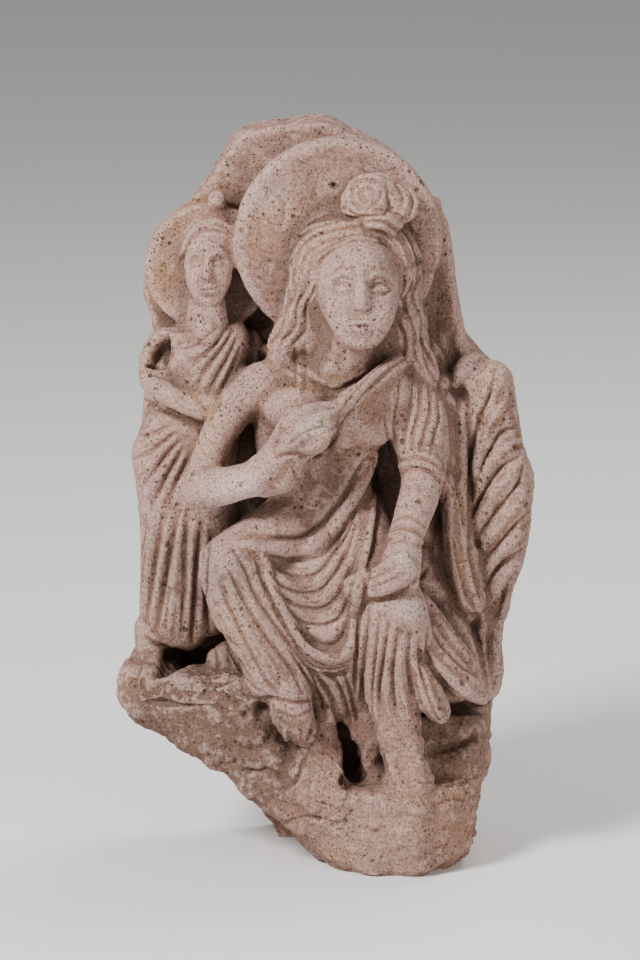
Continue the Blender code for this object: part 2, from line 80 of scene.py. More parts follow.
def lump(clay, *balls):
    """The body stretched over balls of (x, h, y, radius)."""
    skin = bmesh.new()
    for x, h, y, radius in balls:
        bmesh.ops.create_icosphere(
            skin, subdivisions=2, radius=radius * UNIT, matrix=Matrix.Translation(at(x, h, y))
        )
    bmesh.ops.delete(skin, geom=skin.edges[:], context="EDGES_FACES")
    made = bmesh.ops.convex_hull(skin, input=skin.verts[:])
    inner = {v for v in made["geom_interior"] + made["geom_unused"] if isinstance(v, bmesh.types.BMVert)}
    bmesh.ops.delete(skin, geom=list(inner), context="VERTS")
    bmesh.ops.recalc_face_normals(skin, faces=skin.faces[:])
    mesh = bpy.data.meshes.new("lump")
    skin.to_mesh(mesh)
    skin.free()
    clay.from_mesh(mesh)
    bpy.data.meshes.remove(mesh)


slab_edge = [
    (-93, 298), (-91, 308), (-85, 321), (-76, 332), (-66, 344), (-58, 354), (-51, 366), (-45, 373),
    (-30, 377), (-14, 379), (0, 379), (8, 375), (24, 367), (37, 357), (49, 341), (55, 325),
    (61, 309), (60, 293), (65, 277), (75, 264), (85, 252), (90, 236), (94, 216), (102, 205),
    (102, 190), (99, 165), (93, 146), (90, 132), (86, 120), (86, 104), (82, 84), (78, 62),
    (74, 40), (72, 8), (40, -6), (-12, 0), (-25, 17), (-33, 32), (-42, 48), (-60, 72), (-90, 92),
    (-98, 112), (-92, 130), (-93, 150), (-96, 185), (-98, 210), (-91, 240), (-91, 258), (-88, 272),
]
board = bpy.data.curves.new("slab", "CURVE")
board.dimensions = "2D"
board.fill_mode = "BOTH"
board.extrude = (SLAB_THICKNESS + BACK_WASTE) / 2
edge = board.splines.new("BEZIER")
edge.bezier_points.add(len(slab_edge) - 1)
edge.use_cyclic_u = True
for point, (x, h) in zip(edge.bezier_points, slab_edge):
    place = at(x, h, BACK_DEPTH / UNIT)
    point.co = (place.x, place.z, 0)
    point.handle_left_type = point.handle_right_type = "AUTO"
slab = bpy.data.objects.new("slab", board)
slab.rotation_euler.x = math.radians(90)
slab.location.y = (SLAB_FRONT + BACK_DEPTH + BACK_WASTE) / 2
press_on(clay, slab)

# The two haloes: round plates in front of the slab. The large one stands free at lower left, over
# a deep undercut, and its right half runs into the slab; the small one is the attendant's.
HALO_RADIUS = 0.0515
HALO_THICKNESS = 0.012
ATTENDANT_HALO_RADIUS = 0.032


def plate(clay, x, h, y, radius, front, back):
    """An upright round plate between two depths in metres."""
    middle = at(x, h, y)
    middle.y = (front + back) / 2
    bmesh.ops.create_cone(
        clay, cap_ends=True, segments=72, radius1=radius, radius2=radius, depth=back - front,
        matrix=Matrix.Translation(middle) @ Matrix.Rotation(math.radians(90), 4, "X"),
    )


def rolls(clay, strokes):
    """Tapering rolls of clay through points of (place, radius in metres)."""
    wire = bpy.data.curves.new("rolls", "CURVE")
    wire.dimensions = "3D"
    wire.bevel_depth = 1
    wire.bevel_resolution = 3
    wire.resolution_u = 5
    wire.use_fill_caps = True
    for stroke in strokes:
        line = wire.splines.new("BEZIER")
        line.bezier_points.add(len(stroke) - 1)
        line.radius_interpolation = "CARDINAL"
        for point, (place, radius) in zip(line.bezier_points, stroke):
            point.co = place
            point.radius = radius
            point.handle_left_type = point.handle_right_type = "AUTO"
    press_on(clay, bpy.data.objects.new("rolls", wire))


def roll(clay, *points):
    """One roll through points of (x, h, y, radius)."""
    rolls(clay, [[(at(x, h, y), radius * UNIT) for x, h, y, radius in points]])


halo_front = SLAB_FRONT - 0.024
plate(clay, 4, 315, -4, HALO_RADIUS, halo_front, halo_front + HALO_THICKNESS)
lump(clay, (-8, 332, 14, 22), (18, 332, 14, 24), (8, 290, 14, 18), (36, 300, 14, 14), (30, 270, 14, 16))
lump(clay, (38, 300, 10, 12), (50, 275, 12, 10), (56, 252, 12, 10), (50, 240, 12, 14))
lump(clay, (44, 334, 10, 8), (52, 322, 12, 8), (55, 300, 12, 8), (58, 270, 12, 8), (44, 290, 8, 10))
roll(clay, (51, 336, 8, 4), (57, 312, 8, 4), (60, 290, 8, 4), (65, 266, 6, 4), (68, 256, 6, 4))
plate(clay, -60, 303, 10, ATTENDANT_HALO_RADIUS, SLAB_FRONT - 0.011, SLAB_FRONT + 0.004)

# The broken plinth: a ledge for the attendant at left, a slope in the middle and a block under the
# seated figure's feet. The break climbs to the left, so only the right half reaches the ground.
lump(clay, (-101, 98, -24, 6), (-101, 87, -22, 6), (-62, 94, -38, 6), (-40, 92, -40, 6),
     (-62, 68, -34, 8), (-46, 54, -38, 8), (-90, 78, -18, 7), (-96, 106, 30, 6), (-92, 92, 30, 6),
     (-40, 104, 30, 6), (-46, 66, 30, 8))
lump(clay, (-46, 84, -36, 7), (-50, 58, -36, 8), (-42, 48, -38, 6), (-30, 58, -36, 7),
     (-26, 34, -38, 7), (-12, 30, -44, 6), (-16, 48, -38, 6), (-44, 100, 30, 6), (-34, 42, 30, 8),
     (0, 90, 30, 6), (0, 26, 30, 6))
lump(clay, (-40, 46, -44, 5), (-26, 46, -46, 5), (-32, 36, -42, 5), (-18, 28, -46, 5),
     (-12, 42, -50, 5), (-20, 30, 0, 8))
lump(clay, (-18, 28, -44, 6), (-4, 42, -54, 6), (2, 12, -48, 6), (10, 36, -56, 6), (8, 9, -50, 6),
     (-4, 20, -46, 6), (-18, 26, 32, 7), (0, 60, 26, 6), (2, 8, -20, 6), (-2, 16, 8, 6))
lump(clay, (6, 38, -54, 6), (8, 9, -50, 6), (26, 32, -58, 6), (24, 6, -54, 6), (42, 34, -60, 6),
     (42, 5, -56, 6), (54, 38, -50, 6), (66, 40, -34, 6), (66, 16, -32, 6), (58, 12, -46, 6),
     (66, 50, 24, 6), (66, 20, 30, 6), (0, 50, 26, 6), (60, 0, 26, 8), (8, -4, -24, 7), (0, 6, 12, 7),
     (-10, 10, 34, 7), (50, -4, -20, 8))
lump(clay, (66, 24, -24, 6), (70, 50, 0, 6), (72, 74, 6, 6), (76, 90, 20, 7), (68, 20, 30, 6),
     (50, 70, 10, 8))
lump(clay, (-3, 84, -32, 5), (-10, 66, -42, 6), (-16, 50, -48, 6), (0, 60, -44, 5), (3, 44, -50, 6),
     (-8, 36, -54, 6), (-6, 70, 0, 8))
lump(clay, (46, 73, -18, 5), (74, 74, -6, 5), (50, 56, -18, 6), (74, 50, -6, 6), (46, 64, 14, 8),
     (74, 66, 20, 8), (44, 40, -30, 6), (68, 42, -20, 6))
lump(clay, (18, 78, -18, 4), (18, 62, -20, 3), (16, 44, -28, 5), (26, 38, -38, 6), (18, 70, 0, 4))
lump(clay, (5, 72, -12, 5), (9, 50, -17, 7), (4, 44, -20, 6))
lump(clay, (12, 78, -18, 5), (17, 66, -20, 4), (20, 80, -28, 5), (20, 56, -24, 4), (18, 70, -6, 4))

# The seated figure's trunk and neck: bare chest and belly, modelled in one soft mass, with a fill
# of clay behind that ties the hips and knees to the slab.


def ball(clay, place, radii, roll=0):
    """An ellipsoid: radii across, in depth and upright, in drawn millimetres; roll in degrees."""
    turn = Euler((0, math.radians(roll), 0)).to_matrix().to_4x4()
    size = Matrix.Diagonal([r * UNIT for r in radii] + [1])
    bmesh.ops.create_uvsphere(
        clay, u_segments=24, v_segments=14, radius=1, matrix=Matrix.Translation(at(*place)) @ turn @ size
    )


def limb(clay, *balls):
    """A round limb through balls of (x, h, y, radius), one after another."""
    for near, far in zip(balls, balls[1:]):
        lump(clay, near, far)


lump(clay, (-30, 236, -8, 14), (-34, 244, -8, 11), (38, 240, -8, 12), (5, 250, -10, 13),
     (-12, 222, -16, 16), (14, 222, -16, 15))
lump(clay, (-14, 222, -15, 15), (13, 222, -15, 14), (-5, 198, -15, 16), (6, 198, -15, 15))
lump(clay, (-5, 198, -15, 16), (6, 198, -15, 15), (-16, 176, -14, 19), (6, 176, -16, 17))
lump(clay, (-30, 240, 12, 10), (36, 240, 12, 12), (-24, 170, 12, 14), (28, 170, 12, 12),
     (-20, 100, 14, 12), (34, 100, 14, 12))
ball(clay, (-17, 231, -25), (16, 9, 12))
ball(clay, (14, 230, -25), (15, 9, 14))
limb(clay, (5, 246, -10, 17), (10, 262, -15, 14.5), (12, 274, -18, 15))
lump(clay, (-4, 249, -13, 8), (24, 249, -13, 8), (2, 258, -12, 8), (18, 258, -12, 8), (12, 268, -14, 9))
lump(clay, (24, 250, -12, 7), (41, 252, -10, 8), (40, 236, -14, 8))

# The head and its hair: the head turned a little to the right, hair combed up to a topknot of two
# lobes and falling in locks on the shoulders.
ball(clay, (14, 291, -26), (20.5, 20, 27), roll=-3)
lump(clay, (9, 275, -33, 9), (22, 275, -33, 9), (16, 269, -37, 8.5))
ball(clay, (12, 299, -12), (31, 20, 30))
lump(clay, (-20, 262, 6, 12), (42, 262, 6, 14), (-10, 290, 4, 12), (36, 290, 4, 12))
lump(clay, (-6, 282, -14, 9), (-12, 268, -12, 8), (-4, 260, -10, 8), (30, 278, -14, 8),
     (34, 262, -13, 9), (14, 262, -10, 8))
limb(clay, (-11, 300, -14, 9), (-14, 286, -15, 8), (-18, 274, -12, 9), (-22, 264, -10, 9),
     (-24, 256, -10, 8))
limb(clay, (36, 298, -10, 9), (38, 284, -12, 8), (39, 270, -14, 9), (43, 258, -14, 9), (48, 248, -12, 7))
lump(clay, (13, 334, -18, 8.5), (23, 337, -21, 11.5), (24, 327, -18, 11))
ball(clay, (35, 332, -20), (9, 9, 9.5))

# The arms. The right one is bent, its hand held before the breast; the left one leaves its sleeve
# above the elbow and rests its hand on the knee.
limb(clay, (-34, 243, -10, 13), (-48, 232, -16, 11), (-55, 220, -22, 9), (-61, 204, -31, 9),
     (-63, 193, -37, 10))
limb(clay, (-63, 192, -38, 11), (-50, 194, -45, 9.5), (-38, 197, -49, 9), (-28, 206, -51, 8.5),
     (-24, 211, -51, 8))
lump(clay, (-26, 208, -51, 8), (-18, 214, -53, 8), (-6, 217, -52, 7), (-4, 226, -51, 6),
     (-18, 227, -51, 6), (-10, 216, -40, 8))
limb(clay, (-6, 226, -51, 6), (2, 231, -48, 4.5), (8, 235, -44, 4.5), (18, 243, -36, 4.5),
     (30, 252, -26, 5), (38, 258, -18, 5))
lump(clay, (4, 228, -42, 4), (18, 241, -34, 4), (30, 250, -24, 4), (40, 240, -16, 6), (24, 218, -24, 5),
     (6, 216, -28, 6))
lump(clay, (-18, 230, -22, 9), (-8, 216, -16, 12), (-28, 240, -12, 10))
lump(clay, (-28, 232, -14, 10), (-29, 220, -13, 9), (-28, 206, -12, 9), (-24, 196, -12, 9),
     (-10, 214, -14, 12))
lump(clay, (-32, 195, -46, 7.5), (-24, 197, -48, 7.5), (-19, 207, -50, 7.5))
lump(clay, (40, 242, -8, 13), (36, 230, -12, 10), (48, 226, -14, 11), (42, 212, -20, 10),
     (50, 210, -18, 10))
limb(clay, (46, 206, -20, 13), (46, 198, -24, 11), (44, 188, -28, 10.5), (40, 176, -36, 9.5),
     (37, 168, -42, 9))
lump(clay, (37, 164, -45, 8.5), (36, 150, -52, 8), (30, 152, -54, 7), (34, 158, -51, 8),
     (38, 148, -50, 7))
lump(clay, (30, 147, -55, 7), (22, 145, -54, 6), (12, 144, -52, 6), (32, 152, -54, 6), (14, 140, -48, 6))

# The legs under the robe: thighs, shins, the cloth slung between the knees, one foot hanging and
# one on the plinth, and the hem in three lobes to the right of the shin.
limb(clay, (-16, 174, -14, 20), (-34, 164, -34, 17), (-49, 155, -46, 16), (-49, 150, -46, 16))
lump(clay, (-49, 150, -46, 16), (-44, 132, -46, 15), (-20, 140, -36, 14), (-16, 118, -38, 12),
     (-34, 112, -44, 12))
lump(clay, (-34, 116, -44, 13), (-16, 114, -38, 12), (-30, 98, -42, 11), (-10, 98, -34, 9),
     (-32, 96, -42, 10))
limb(clay, (-22, 94, -42, 12.5), (-19, 83, -46, 11), (-17, 75, -50, 10), (-15, 71, -52, 7))
lump(clay, (-34, 84, -30, 7), (-35, 70, -34, 8), (-27, 72, -32, 7), (-31, 80, -38, 5))
limb(clay, (12, 174, -14, 20), (24, 150, -36, 17), (32, 130, -46, 17))
lump(clay, (32, 130, -46, 17), (24, 112, -44, 9), (44, 112, -40, 10), (25, 92, -42, 8), (36, 88, -42, 10))
lump(clay, (24, 90, -42, 7), (36, 88, -42, 9), (34, 66, -42, 9), (38, 52, -46, 9))
lump(clay, (37, 56, -46, 10), (40, 42, -52, 11), (36, 34, -56, 8), (46, 34, -54, 7), (30, 42, -48, 6))
lump(clay, (-36, 148, -36, 12), (-8, 154, -28, 18), (14, 150, -30, 15), (-14, 112, -38, 11),
     (12, 116, -38, 10), (4, 100, -38, 6))
lump(clay, (-30, 150, -20, 14), (18, 150, -20, 12), (-30, 100, -16, 12), (24, 100, -20, 14),
     (-20, 96, 10, 10), (30, 80, 10, 10))
lump(clay, (-16, 104, -34, 8), (8, 96, -34, 6), (-6, 84, -30, 6), (16, 110, -34, 8), (16, 80, -26, 5),
     (4, 84, -20, 6), (14, 84, -10, 6))
limb(clay, (7.6, 80, -27, 4), (14, 71, -29, 4), (19.6, 62, -31, 4.5), (21, 50, -36, 5))
lump(clay, (12, 82, -26, 5), (20, 76, -30, 6), (22, 62, -32, 6), (26, 70, -32, 5))
limb(clay, (36, 122, -42, 9), (44, 102, -46, 8), (49, 90, -48, 8), (54, 82, -47, 6.5))
limb(clay, (40, 126, -38, 9), (56, 106, -40, 9), (67, 94, -38, 7), (76, 88, -34, 4))
limb(clay, (42, 134, -30, 9), (58, 114, -32, 8), (68, 104, -30, 6))
lump(clay, (40, 124, -26, 12), (60, 122, -14, 10), (54, 94, -30, 8), (72, 94, -24, 5), (50, 90, 10, 10),
     (74, 94, 10, 8))
lump(clay, (78, 128, 0, 8), (80, 104, -4, 8), (78, 92, -6, 7), (74, 128, 14, 10), (78, 96, 14, 10))

# The scarf that falls beside the left arm, and the twisted trunk that leans out at the right edge.
limb(clay, (57, 196, -14, 5), (60, 178, -16, 5), (62, 158, -18, 6), (67, 140, -20, 6), (70, 136, -20, 6))
lump(clay, (62, 196, -4, 6), (66, 160, -8, 7), (72, 136, -12, 6), (62, 196, 14, 8), (74, 132, 14, 10))
lump(clay, (55, 190, -2, 4), (51, 162, -12, 6), (55, 140, -14, 7), (64, 150, -4, 6))
lump(clay, (46, 158, -12, 6), (46, 146, -20, 6), (60, 136, -14, 7), (66, 130, -10, 7))
lump(clay, (52, 240, 2, 13), (64, 226, 6, 9), (60, 200, 2, 10), (64, 160, 4, 10), (66, 196, 6, 8),
     (70, 124, 6, 12))
lump(clay, (48, 236, -4, 10), (54, 222, -8, 8), (56, 204, -10, 6), (54, 226, 10, 10), (60, 200, 10, 8))
lump(clay, (72, 246, 4, 11), (81, 246, 2, 11), (82, 232, 4, 12), (76, 216, 4, 9), (84, 214, 4, 13))
lump(clay, (84, 214, 4, 12), (90, 200, 2, 12), (88, 182, 2, 13), (78, 196, 2, 10), (80, 170, 0, 11),
     (78, 160, 2, 10))
lump(clay, (88, 182, 2, 13), (86, 164, 2, 12), (78, 160, 2, 10), (80, 146, 4, 11), (78, 128, 4, 10))

# The attendant: head, neck, chest, the arm across the waist, skirt and feet, on the higher ledge.
lump(clay, (-60, 312, 1, 12), (-60, 302, -2, 12), (-60, 292, -4, 9.5), (-60, 288, -5, 7))
ball(clay, (-59, 314, 4), (15, 13, 15))
ball(clay, (-56, 336, 5), (5, 5, 5))
limb(clay, (-62, 284, 2, 9), (-64, 270, 4, 10))
lump(clay, (-80, 264, 4, 9), (-50, 266, 4, 11), (-62, 244, -3, 15), (-76, 238, -2, 10),
     (-60, 224, -2, 14))
lump(clay, (-58, 226, -2, 14), (-80, 224, -2, 12), (-60, 204, 0, 14), (-87, 208, 0, 13))
lump(clay, (-87, 210, 0, 13), (-62, 206, 0, 14), (-84, 176, -2, 11), (-64, 176, -4, 12),
     (-56, 170, 2, 12))
lump(clay, (-84, 178, -2, 11), (-66, 176, -4, 12), (-86, 146, -3, 9), (-70, 140, -6, 10),
     (-56, 146, 2, 12), (-88, 130, -4, 8))
lump(clay, (-88, 134, -4, 8), (-74, 136, -8, 9), (-54, 140, 0, 10), (-84, 120, -6, 7),
     (-72, 117, -8, 7), (-56, 128, -4, 8))
limb(clay, (-83, 264, 2, 9), (-88, 256, -2, 8), (-88, 247, -8, 7.5), (-80, 239, -14, 6),
     (-68, 235, -17, 5.5), (-60, 234, -18, 6))
lump(clay, (-80, 262, 12, 12), (-44, 262, 12, 12), (-86, 210, 12, 10), (-40, 210, 12, 12),
     (-84, 120, 12, 10), (-40, 120, 12, 12))
limb(clay, (-91, 122, -4, 8), (-90, 106, -10, 7), (-90, 98, -18, 7), (-82, 95, -26, 5))
lump(clay, (-56, 106, -12, 7), (-50, 98, -20, 8), (-50, 110, -6, 7), (-44, 98, -12, 8), (-54, 94, -26, 6))

# The lumps are wetted and joined: the clay becomes one continuous skin, softly smoothed, on which
# everything finer is laid or pressed.
GRAIN = 0.0014
AHEAD = Vector((0, math.cos(LOOK_DOWN), -math.sin(LOOK_DOWN)))


def joined(clay, grain, smoothing):
    """One continuous skin round the clay, at a grain in metres."""
    mesh = bpy.data.meshes.new("skin")
    clay.to_mesh(mesh)
    clay.free()
    body = bpy.data.objects.new("skin", mesh)
    bpy.context.scene.collection.objects.link(body)
    remesh = body.modifiers.new("one body", "REMESH")
    remesh.mode = "VOXEL"
    remesh.voxel_size = grain
    soft = body.modifiers.new("soften", "SMOOTH")
    soft.factor = 0.5
    soft.iterations = smoothing
    whole = bpy.data.meshes.new_from_object(body.evaluated_get(bpy.context.evaluated_depsgraph_get()))
    bpy.data.objects.remove(body)
    bpy.data.meshes.remove(mesh)
    return whole


def surface(mesh):
    """The vertices, their normals and the search tree of a skin."""
    co = np.empty(len(mesh.vertices) * 3)
    mesh.vertices.foreach_get("co", co)
    out = np.empty(len(mesh.vertices) * 3)
    mesh.vertex_normals.foreach_get("vector", out)
    co = co.reshape(-1, 3)
    tree = BVHTree.FromPolygons([tuple(v) for v in co], [tuple(p.vertices) for p in mesh.polygons])
    return co, out.reshape(-1, 3), tree


skin = joined(clay, GRAIN, 4)

# Hollows pressed in with a thumb before the details: inside the attendant's bent arm, beside the
# scarf, behind the right edge of the halo, under the hems, between the legs and in the broken plinth.


def along(stroke, step):
    """Points every step millimetres on the smooth line through the points of a stroke."""
    points = [np.array(p, float) for p in stroke]
    ends = [2 * points[0] - points[1]] + points + [2 * points[-1] - points[-2]]
    line = []
    for a, b, c, d in zip(ends, ends[1:], ends[2:], ends[3:]):
        count = max(1, round(float(np.hypot(*(c - b)[:2])) / step))
        for i in range(count):
            t = i / count
            line.append(b + 0.5 * t * (c - a + t * (2 * a - 5 * b + 4 * c - d + t * (3 * (b - c) + d - a))))
    return line + [points[-1]]


def on_skin(tree, stroke, step):
    """The places where a stroke drawn in the view falls on the skin, with what else it carries."""
    found = []
    for x, h, *rest in along(stroke, step):
        place = tree.ray_cast(at(x, h, -200), AHEAD)[0]
        if place is not None:
            found.append((place, *rest))
    return found


def cut(width, depth, *points):
    """A stroke of even width and depth that runs out at both ends."""
    last = len(points) - 1
    return [(x, h, width * (0.7 if i in (0, last) else 1), depth * (0.35 if i in (0, last) else 1))
            for i, (x, h) in enumerate(points)]


def pressed(mesh, strokes, step=0.8):
    """Presses strokes of (x, h, half width, depth) into the skin; a negative depth raises them."""
    co, out, tree = surface(mesh)
    push = np.zeros(len(co))
    for stroke in strokes:
        line = on_skin(tree, stroke, step)
        if not line:
            continue
        path = np.array([p[0][:] for p in line])
        width = np.array([p[1] for p in line]) * UNIT
        depth = np.array([p[2] for p in line]) * UNIT
        reach = 2 * width.max()
        near = np.where(((co > path.min(0) - reach) & (co < path.max(0) + reach)).all(1))[0]
        gap = np.linalg.norm(co[near, None] - path[None], axis=2) / width
        closest = gap.argmin(1)
        press = depth[closest] * np.exp(-1.6 * gap[np.arange(len(near)), closest] ** 2)
        push[near] = np.where(np.abs(press) > np.abs(push[near]), press, push[near])
    mesh.vertices.foreach_set("co", (co - out * push[:, None]).ravel())
    mesh.update()


hollows = [
    cut(5, 18, (-82, 266), (-84, 260), (-85.5, 254.5)),
    cut(3.2, 9, (-82, 254), (-87, 254.6), (-91, 254.5)),
    cut(5, 7, (-87, 100), (-80, 103), (-70, 107), (-64, 105)),
    cut(3.5, 5, (-62, 116), (-53, 118), (-47, 114)),
    cut(4.5, 5, (2, 72), (7, 62), (9, 52), (7, 46)),
    cut(2.4, 3, (27.5, 60), (28, 54), (27, 48)), cut(2.4, 7, (12, 60), (12.5, 53), (11.5, 47)),
    cut(2.4, 3, (57, 190), (53, 178), (50, 164), (53, 148)),
    cut(6, 4, (49, 256), (54, 280), (52, 310)),
    cut(4, 5, (46, 60), (58, 62), (70, 66), (76, 70)),
    cut(3, 1.6, (-52, 64), (-44, 62), (-30, 57)),
    cut(4, 5, (59, 241), (64, 241), (68, 234)),
    cut(3, 5, (-8, 101), (2, 98), (10, 102)),
]
pressed(skin, hollows, 2)
co, out, tree = surface(skin)
clay = bmesh.new()
clay.from_mesh(skin)

# The thick rolls of the robe: its edge round the waist and over the breast, the sling of cloth
# between the knees, the ripples of the hem, the cuff, the bracelets, the collar and the scarf.


def laid(clay, tree, strokes, sink=0.3, step=5):
    """Rolls of clay of (x, h, radius) laid on the skin, sunk by a share of their radius."""
    lines = []
    for stroke in strokes:
        line = [(p + AHEAD * (r * UNIT * sink), r * UNIT) for p, r in on_skin(tree, stroke, step)]
        if len(line) > 1:
            lines.append(line)
    rolls(clay, lines)


waist = [(-44, 165, 2.5), (-36, 164, 3.6), (-24, 162.5, 4.2), (-12, 163, 4.4), (-3, 168, 4.4),
         (5, 178, 4), (13, 190, 3.4), (20, 202, 2.6), (23, 210, 1.6)]
breast_edge = [(6, 235, 1.6), (13, 240, 2), (20, 246, 2.2), (27, 251, 2.2), (35, 257, 1.8)]
sling = [(-38, 168, 1.6), (-33, 158, 2.8), (-29, 144, 3), (-22, 130, 3.2), (-14, 117, 3.4),
         (-4, 109.5, 3.4), (5, 109, 3.4), (10.5, 116, 3.2), (12.5, 131, 3), (14.5, 145, 2.8),
         (18, 160, 2.8), (21, 178, 2.6), (22, 196, 2)]
ripples = [[(42, 108, 2), (46, 97, 3.4), (50, 86, 3.8), (56, 77, 3)],
           [(48, 111, 2), (58, 100, 3.4), (68, 91.5, 3.4), (77, 87, 2)],
           [(52, 129, 2), (61, 116, 3.2), (68, 107, 2.4)],
           [(57, 134, 1.6), (66, 122, 2.4), (72, 111, 1.8)]]
cuff = [[(34.5, 203, 1.6), (41, 205.4, 2.1), (48, 204, 2.2), (54.5, 199.5, 2), (58, 194, 1.4)],
        [(35, 207.5, 1.2), (41, 209.6, 1.6), (48.6, 208, 1.6), (55, 203.5, 1.3)]]
bracelets = [[(31, 173, 1.5), (36, 175.6, 1.9), (41.6, 174, 1.9), (46.5, 170, 1.5)],
             [(29.5, 168.4, 1.5), (34.5, 170.2, 1.8), (40.6, 168.4, 1.8), (45.5, 165, 1.5)]]
collar = [[(-28, 262, 1.5), (-20, 255, 1.9), (-13, 251, 2), (-5, 246.4, 2), (2, 243.6, 2.2),
           (10, 247, 2), (18, 251, 1.4)],
          [(-12, 240.6, 1.2), (-5.5, 238, 1.7), (4, 237.6, 1.7), (13, 243, 1.3)]]
ribbon = [[(-15.5, 268, 1.6), (-14.8, 256, 1.9), (-15, 246, 1.9), (-15.4, 237, 1.5)]]
scarf = [[(60, 193, 1.4), (60, 176, 2), (61.5, 160, 2.4), (64, 146, 2.6), (67, 134, 2)],
         [(63, 187, 1), (65, 168, 1.8), (69, 148, 2.2), (74.5, 131, 1.8)]]
laid(clay, tree, [waist], 0.05)
laid(clay, tree, [breast_edge], 0.5, 3)
laid(clay, tree, [sling], 0.1)
laid(clay, tree, ripples, 0.15)
laid(clay, tree, cuff + bracelets, 0.25, 3)
laid(clay, tree, collar + ribbon, 0.55, 3)
laid(clay, tree, scarf, 0.3)

# Hair: a parted wave over the brow with a band below it, locks falling in strands on both
# shoulders, and the two lobes of the topknot with their curls.


def fan(first, last, count):
    """Strokes that change evenly from the first to the last, both of as many points."""
    steps = [i / max(1, count - 1) for i in range(count)]
    return [[tuple(a + (b - a) * t for a, b in zip(p, q)) for p, q in zip(first, last)] for t in steps]


def strands(first, last, count, wave, turns):
    """Wavy strands between two strokes of (x, h, radius)."""
    made = []
    for i, stroke in enumerate(fan(first, last, count)):
        made.append([(x + wave * math.sin(turns * k + 1.9 * i), h, r)
                     for k, (x, h, r) in enumerate(along(stroke, 3))])
    return made


wing = fan([(-20, 301, 1.8), (-17, 312, 2.6), (-9, 319.5, 2.9), (2, 321.5, 2.9), (14, 323, 2.4)],
           [(-11, 300, 1.8), (-9, 308, 2.3), (-1, 312.5, 2.6), (8, 315.5, 2.6), (16, 317, 2.2)], 4)
wing += [[(-12, 323, 1.6), (-4, 327.5, 2.4), (6, 329.4, 2.6), (16, 327.4, 2)]]
wing += fan([(17, 326, 2), (27, 326, 2.7), (37, 319.5, 2.7), (44, 307, 2.2)],
            [(18, 318, 1.8), (26, 316.5, 2.4), (33, 311, 2.4), (37, 302, 1.8)], 3)
band = [[(-6, 305, 1.4), (3, 310, 1.9), (14, 312, 2), (25, 310, 1.9), (34, 303.5, 1.4)]]
locks = strands([(-19, 302, 1.8), (-19.5, 288, 2.2), (-24, 274, 2.2), (-31, 262, 1.6)],
                [(-8, 299, 1.8), (-9.5, 285, 2), (-13, 272, 2), (-18, 262, 1.5)], 4, 0.9, 0.9)
locks += strands([(38, 300, 1.8), (35, 286, 1.8), (35, 270, 2), (40, 255, 1.5)],
                 [(44, 303, 1.8), (42, 286, 2.2), (46, 266, 2.2), (52, 249, 1.6)], 4, 0.8, 0.9)
curls = []
for rx, rh in ((10, 8.6), (5.6, 4.6)):
    curls.append([(19 + rx * math.cos(a), 336.6 + rh * math.sin(a), 2)
                  for a in (0.2, 1.0, 1.8, 2.6, 3.4, 4.2, 5.0)])
curls += [[(18, 336, 2), (20, 337, 2)]]
curls += fan([(28.5, 342, 1.6), (32, 336, 2.1), (31, 328, 1.7)],
             [(38, 340, 1.6), (42, 333, 2.1), (39.5, 325, 1.7)], 3)
laid(clay, tree, wing, 0.3, 3)
laid(clay, tree, band, 0.5, 3)
laid(clay, tree, locks, 0.62, 3)
laid(clay, tree, curls, 0.4, 3)

# The faces: calm, with half-closed eyes and a small mouth. Both are set out by one rule from the
# head's own height and width: eyes halfway down, nose a third of the face, mouth a third below it.


def oval(clay, tree, middle, crown, chin, width, turn):
    """The egg of a plain head, laid with its front on the rough head's front."""
    tall = crown - chin
    front = tree.ray_cast(at(middle, chin + 0.5 * tall, -200), AHEAD)[0].y / UNIT
    m = middle + turn * 0.5
    lump(clay, *[(m + x * width, chin + h * tall, front + (y + r) * width, r * width) for x, h, y, r in (
        (0, 0.66, 0.0, 0.40), (-0.2, 0.5, 0.05, 0.26), (0.2, 0.5, 0.05, 0.26), (-0.19, 0.33, 0.03, 0.24),
        (0.19, 0.33, 0.03, 0.24), (-0.1, 0.16, 0.03, 0.19), (0.1, 0.16, 0.03, 0.19),
        (0, 0.11, 0.03, 0.14))])


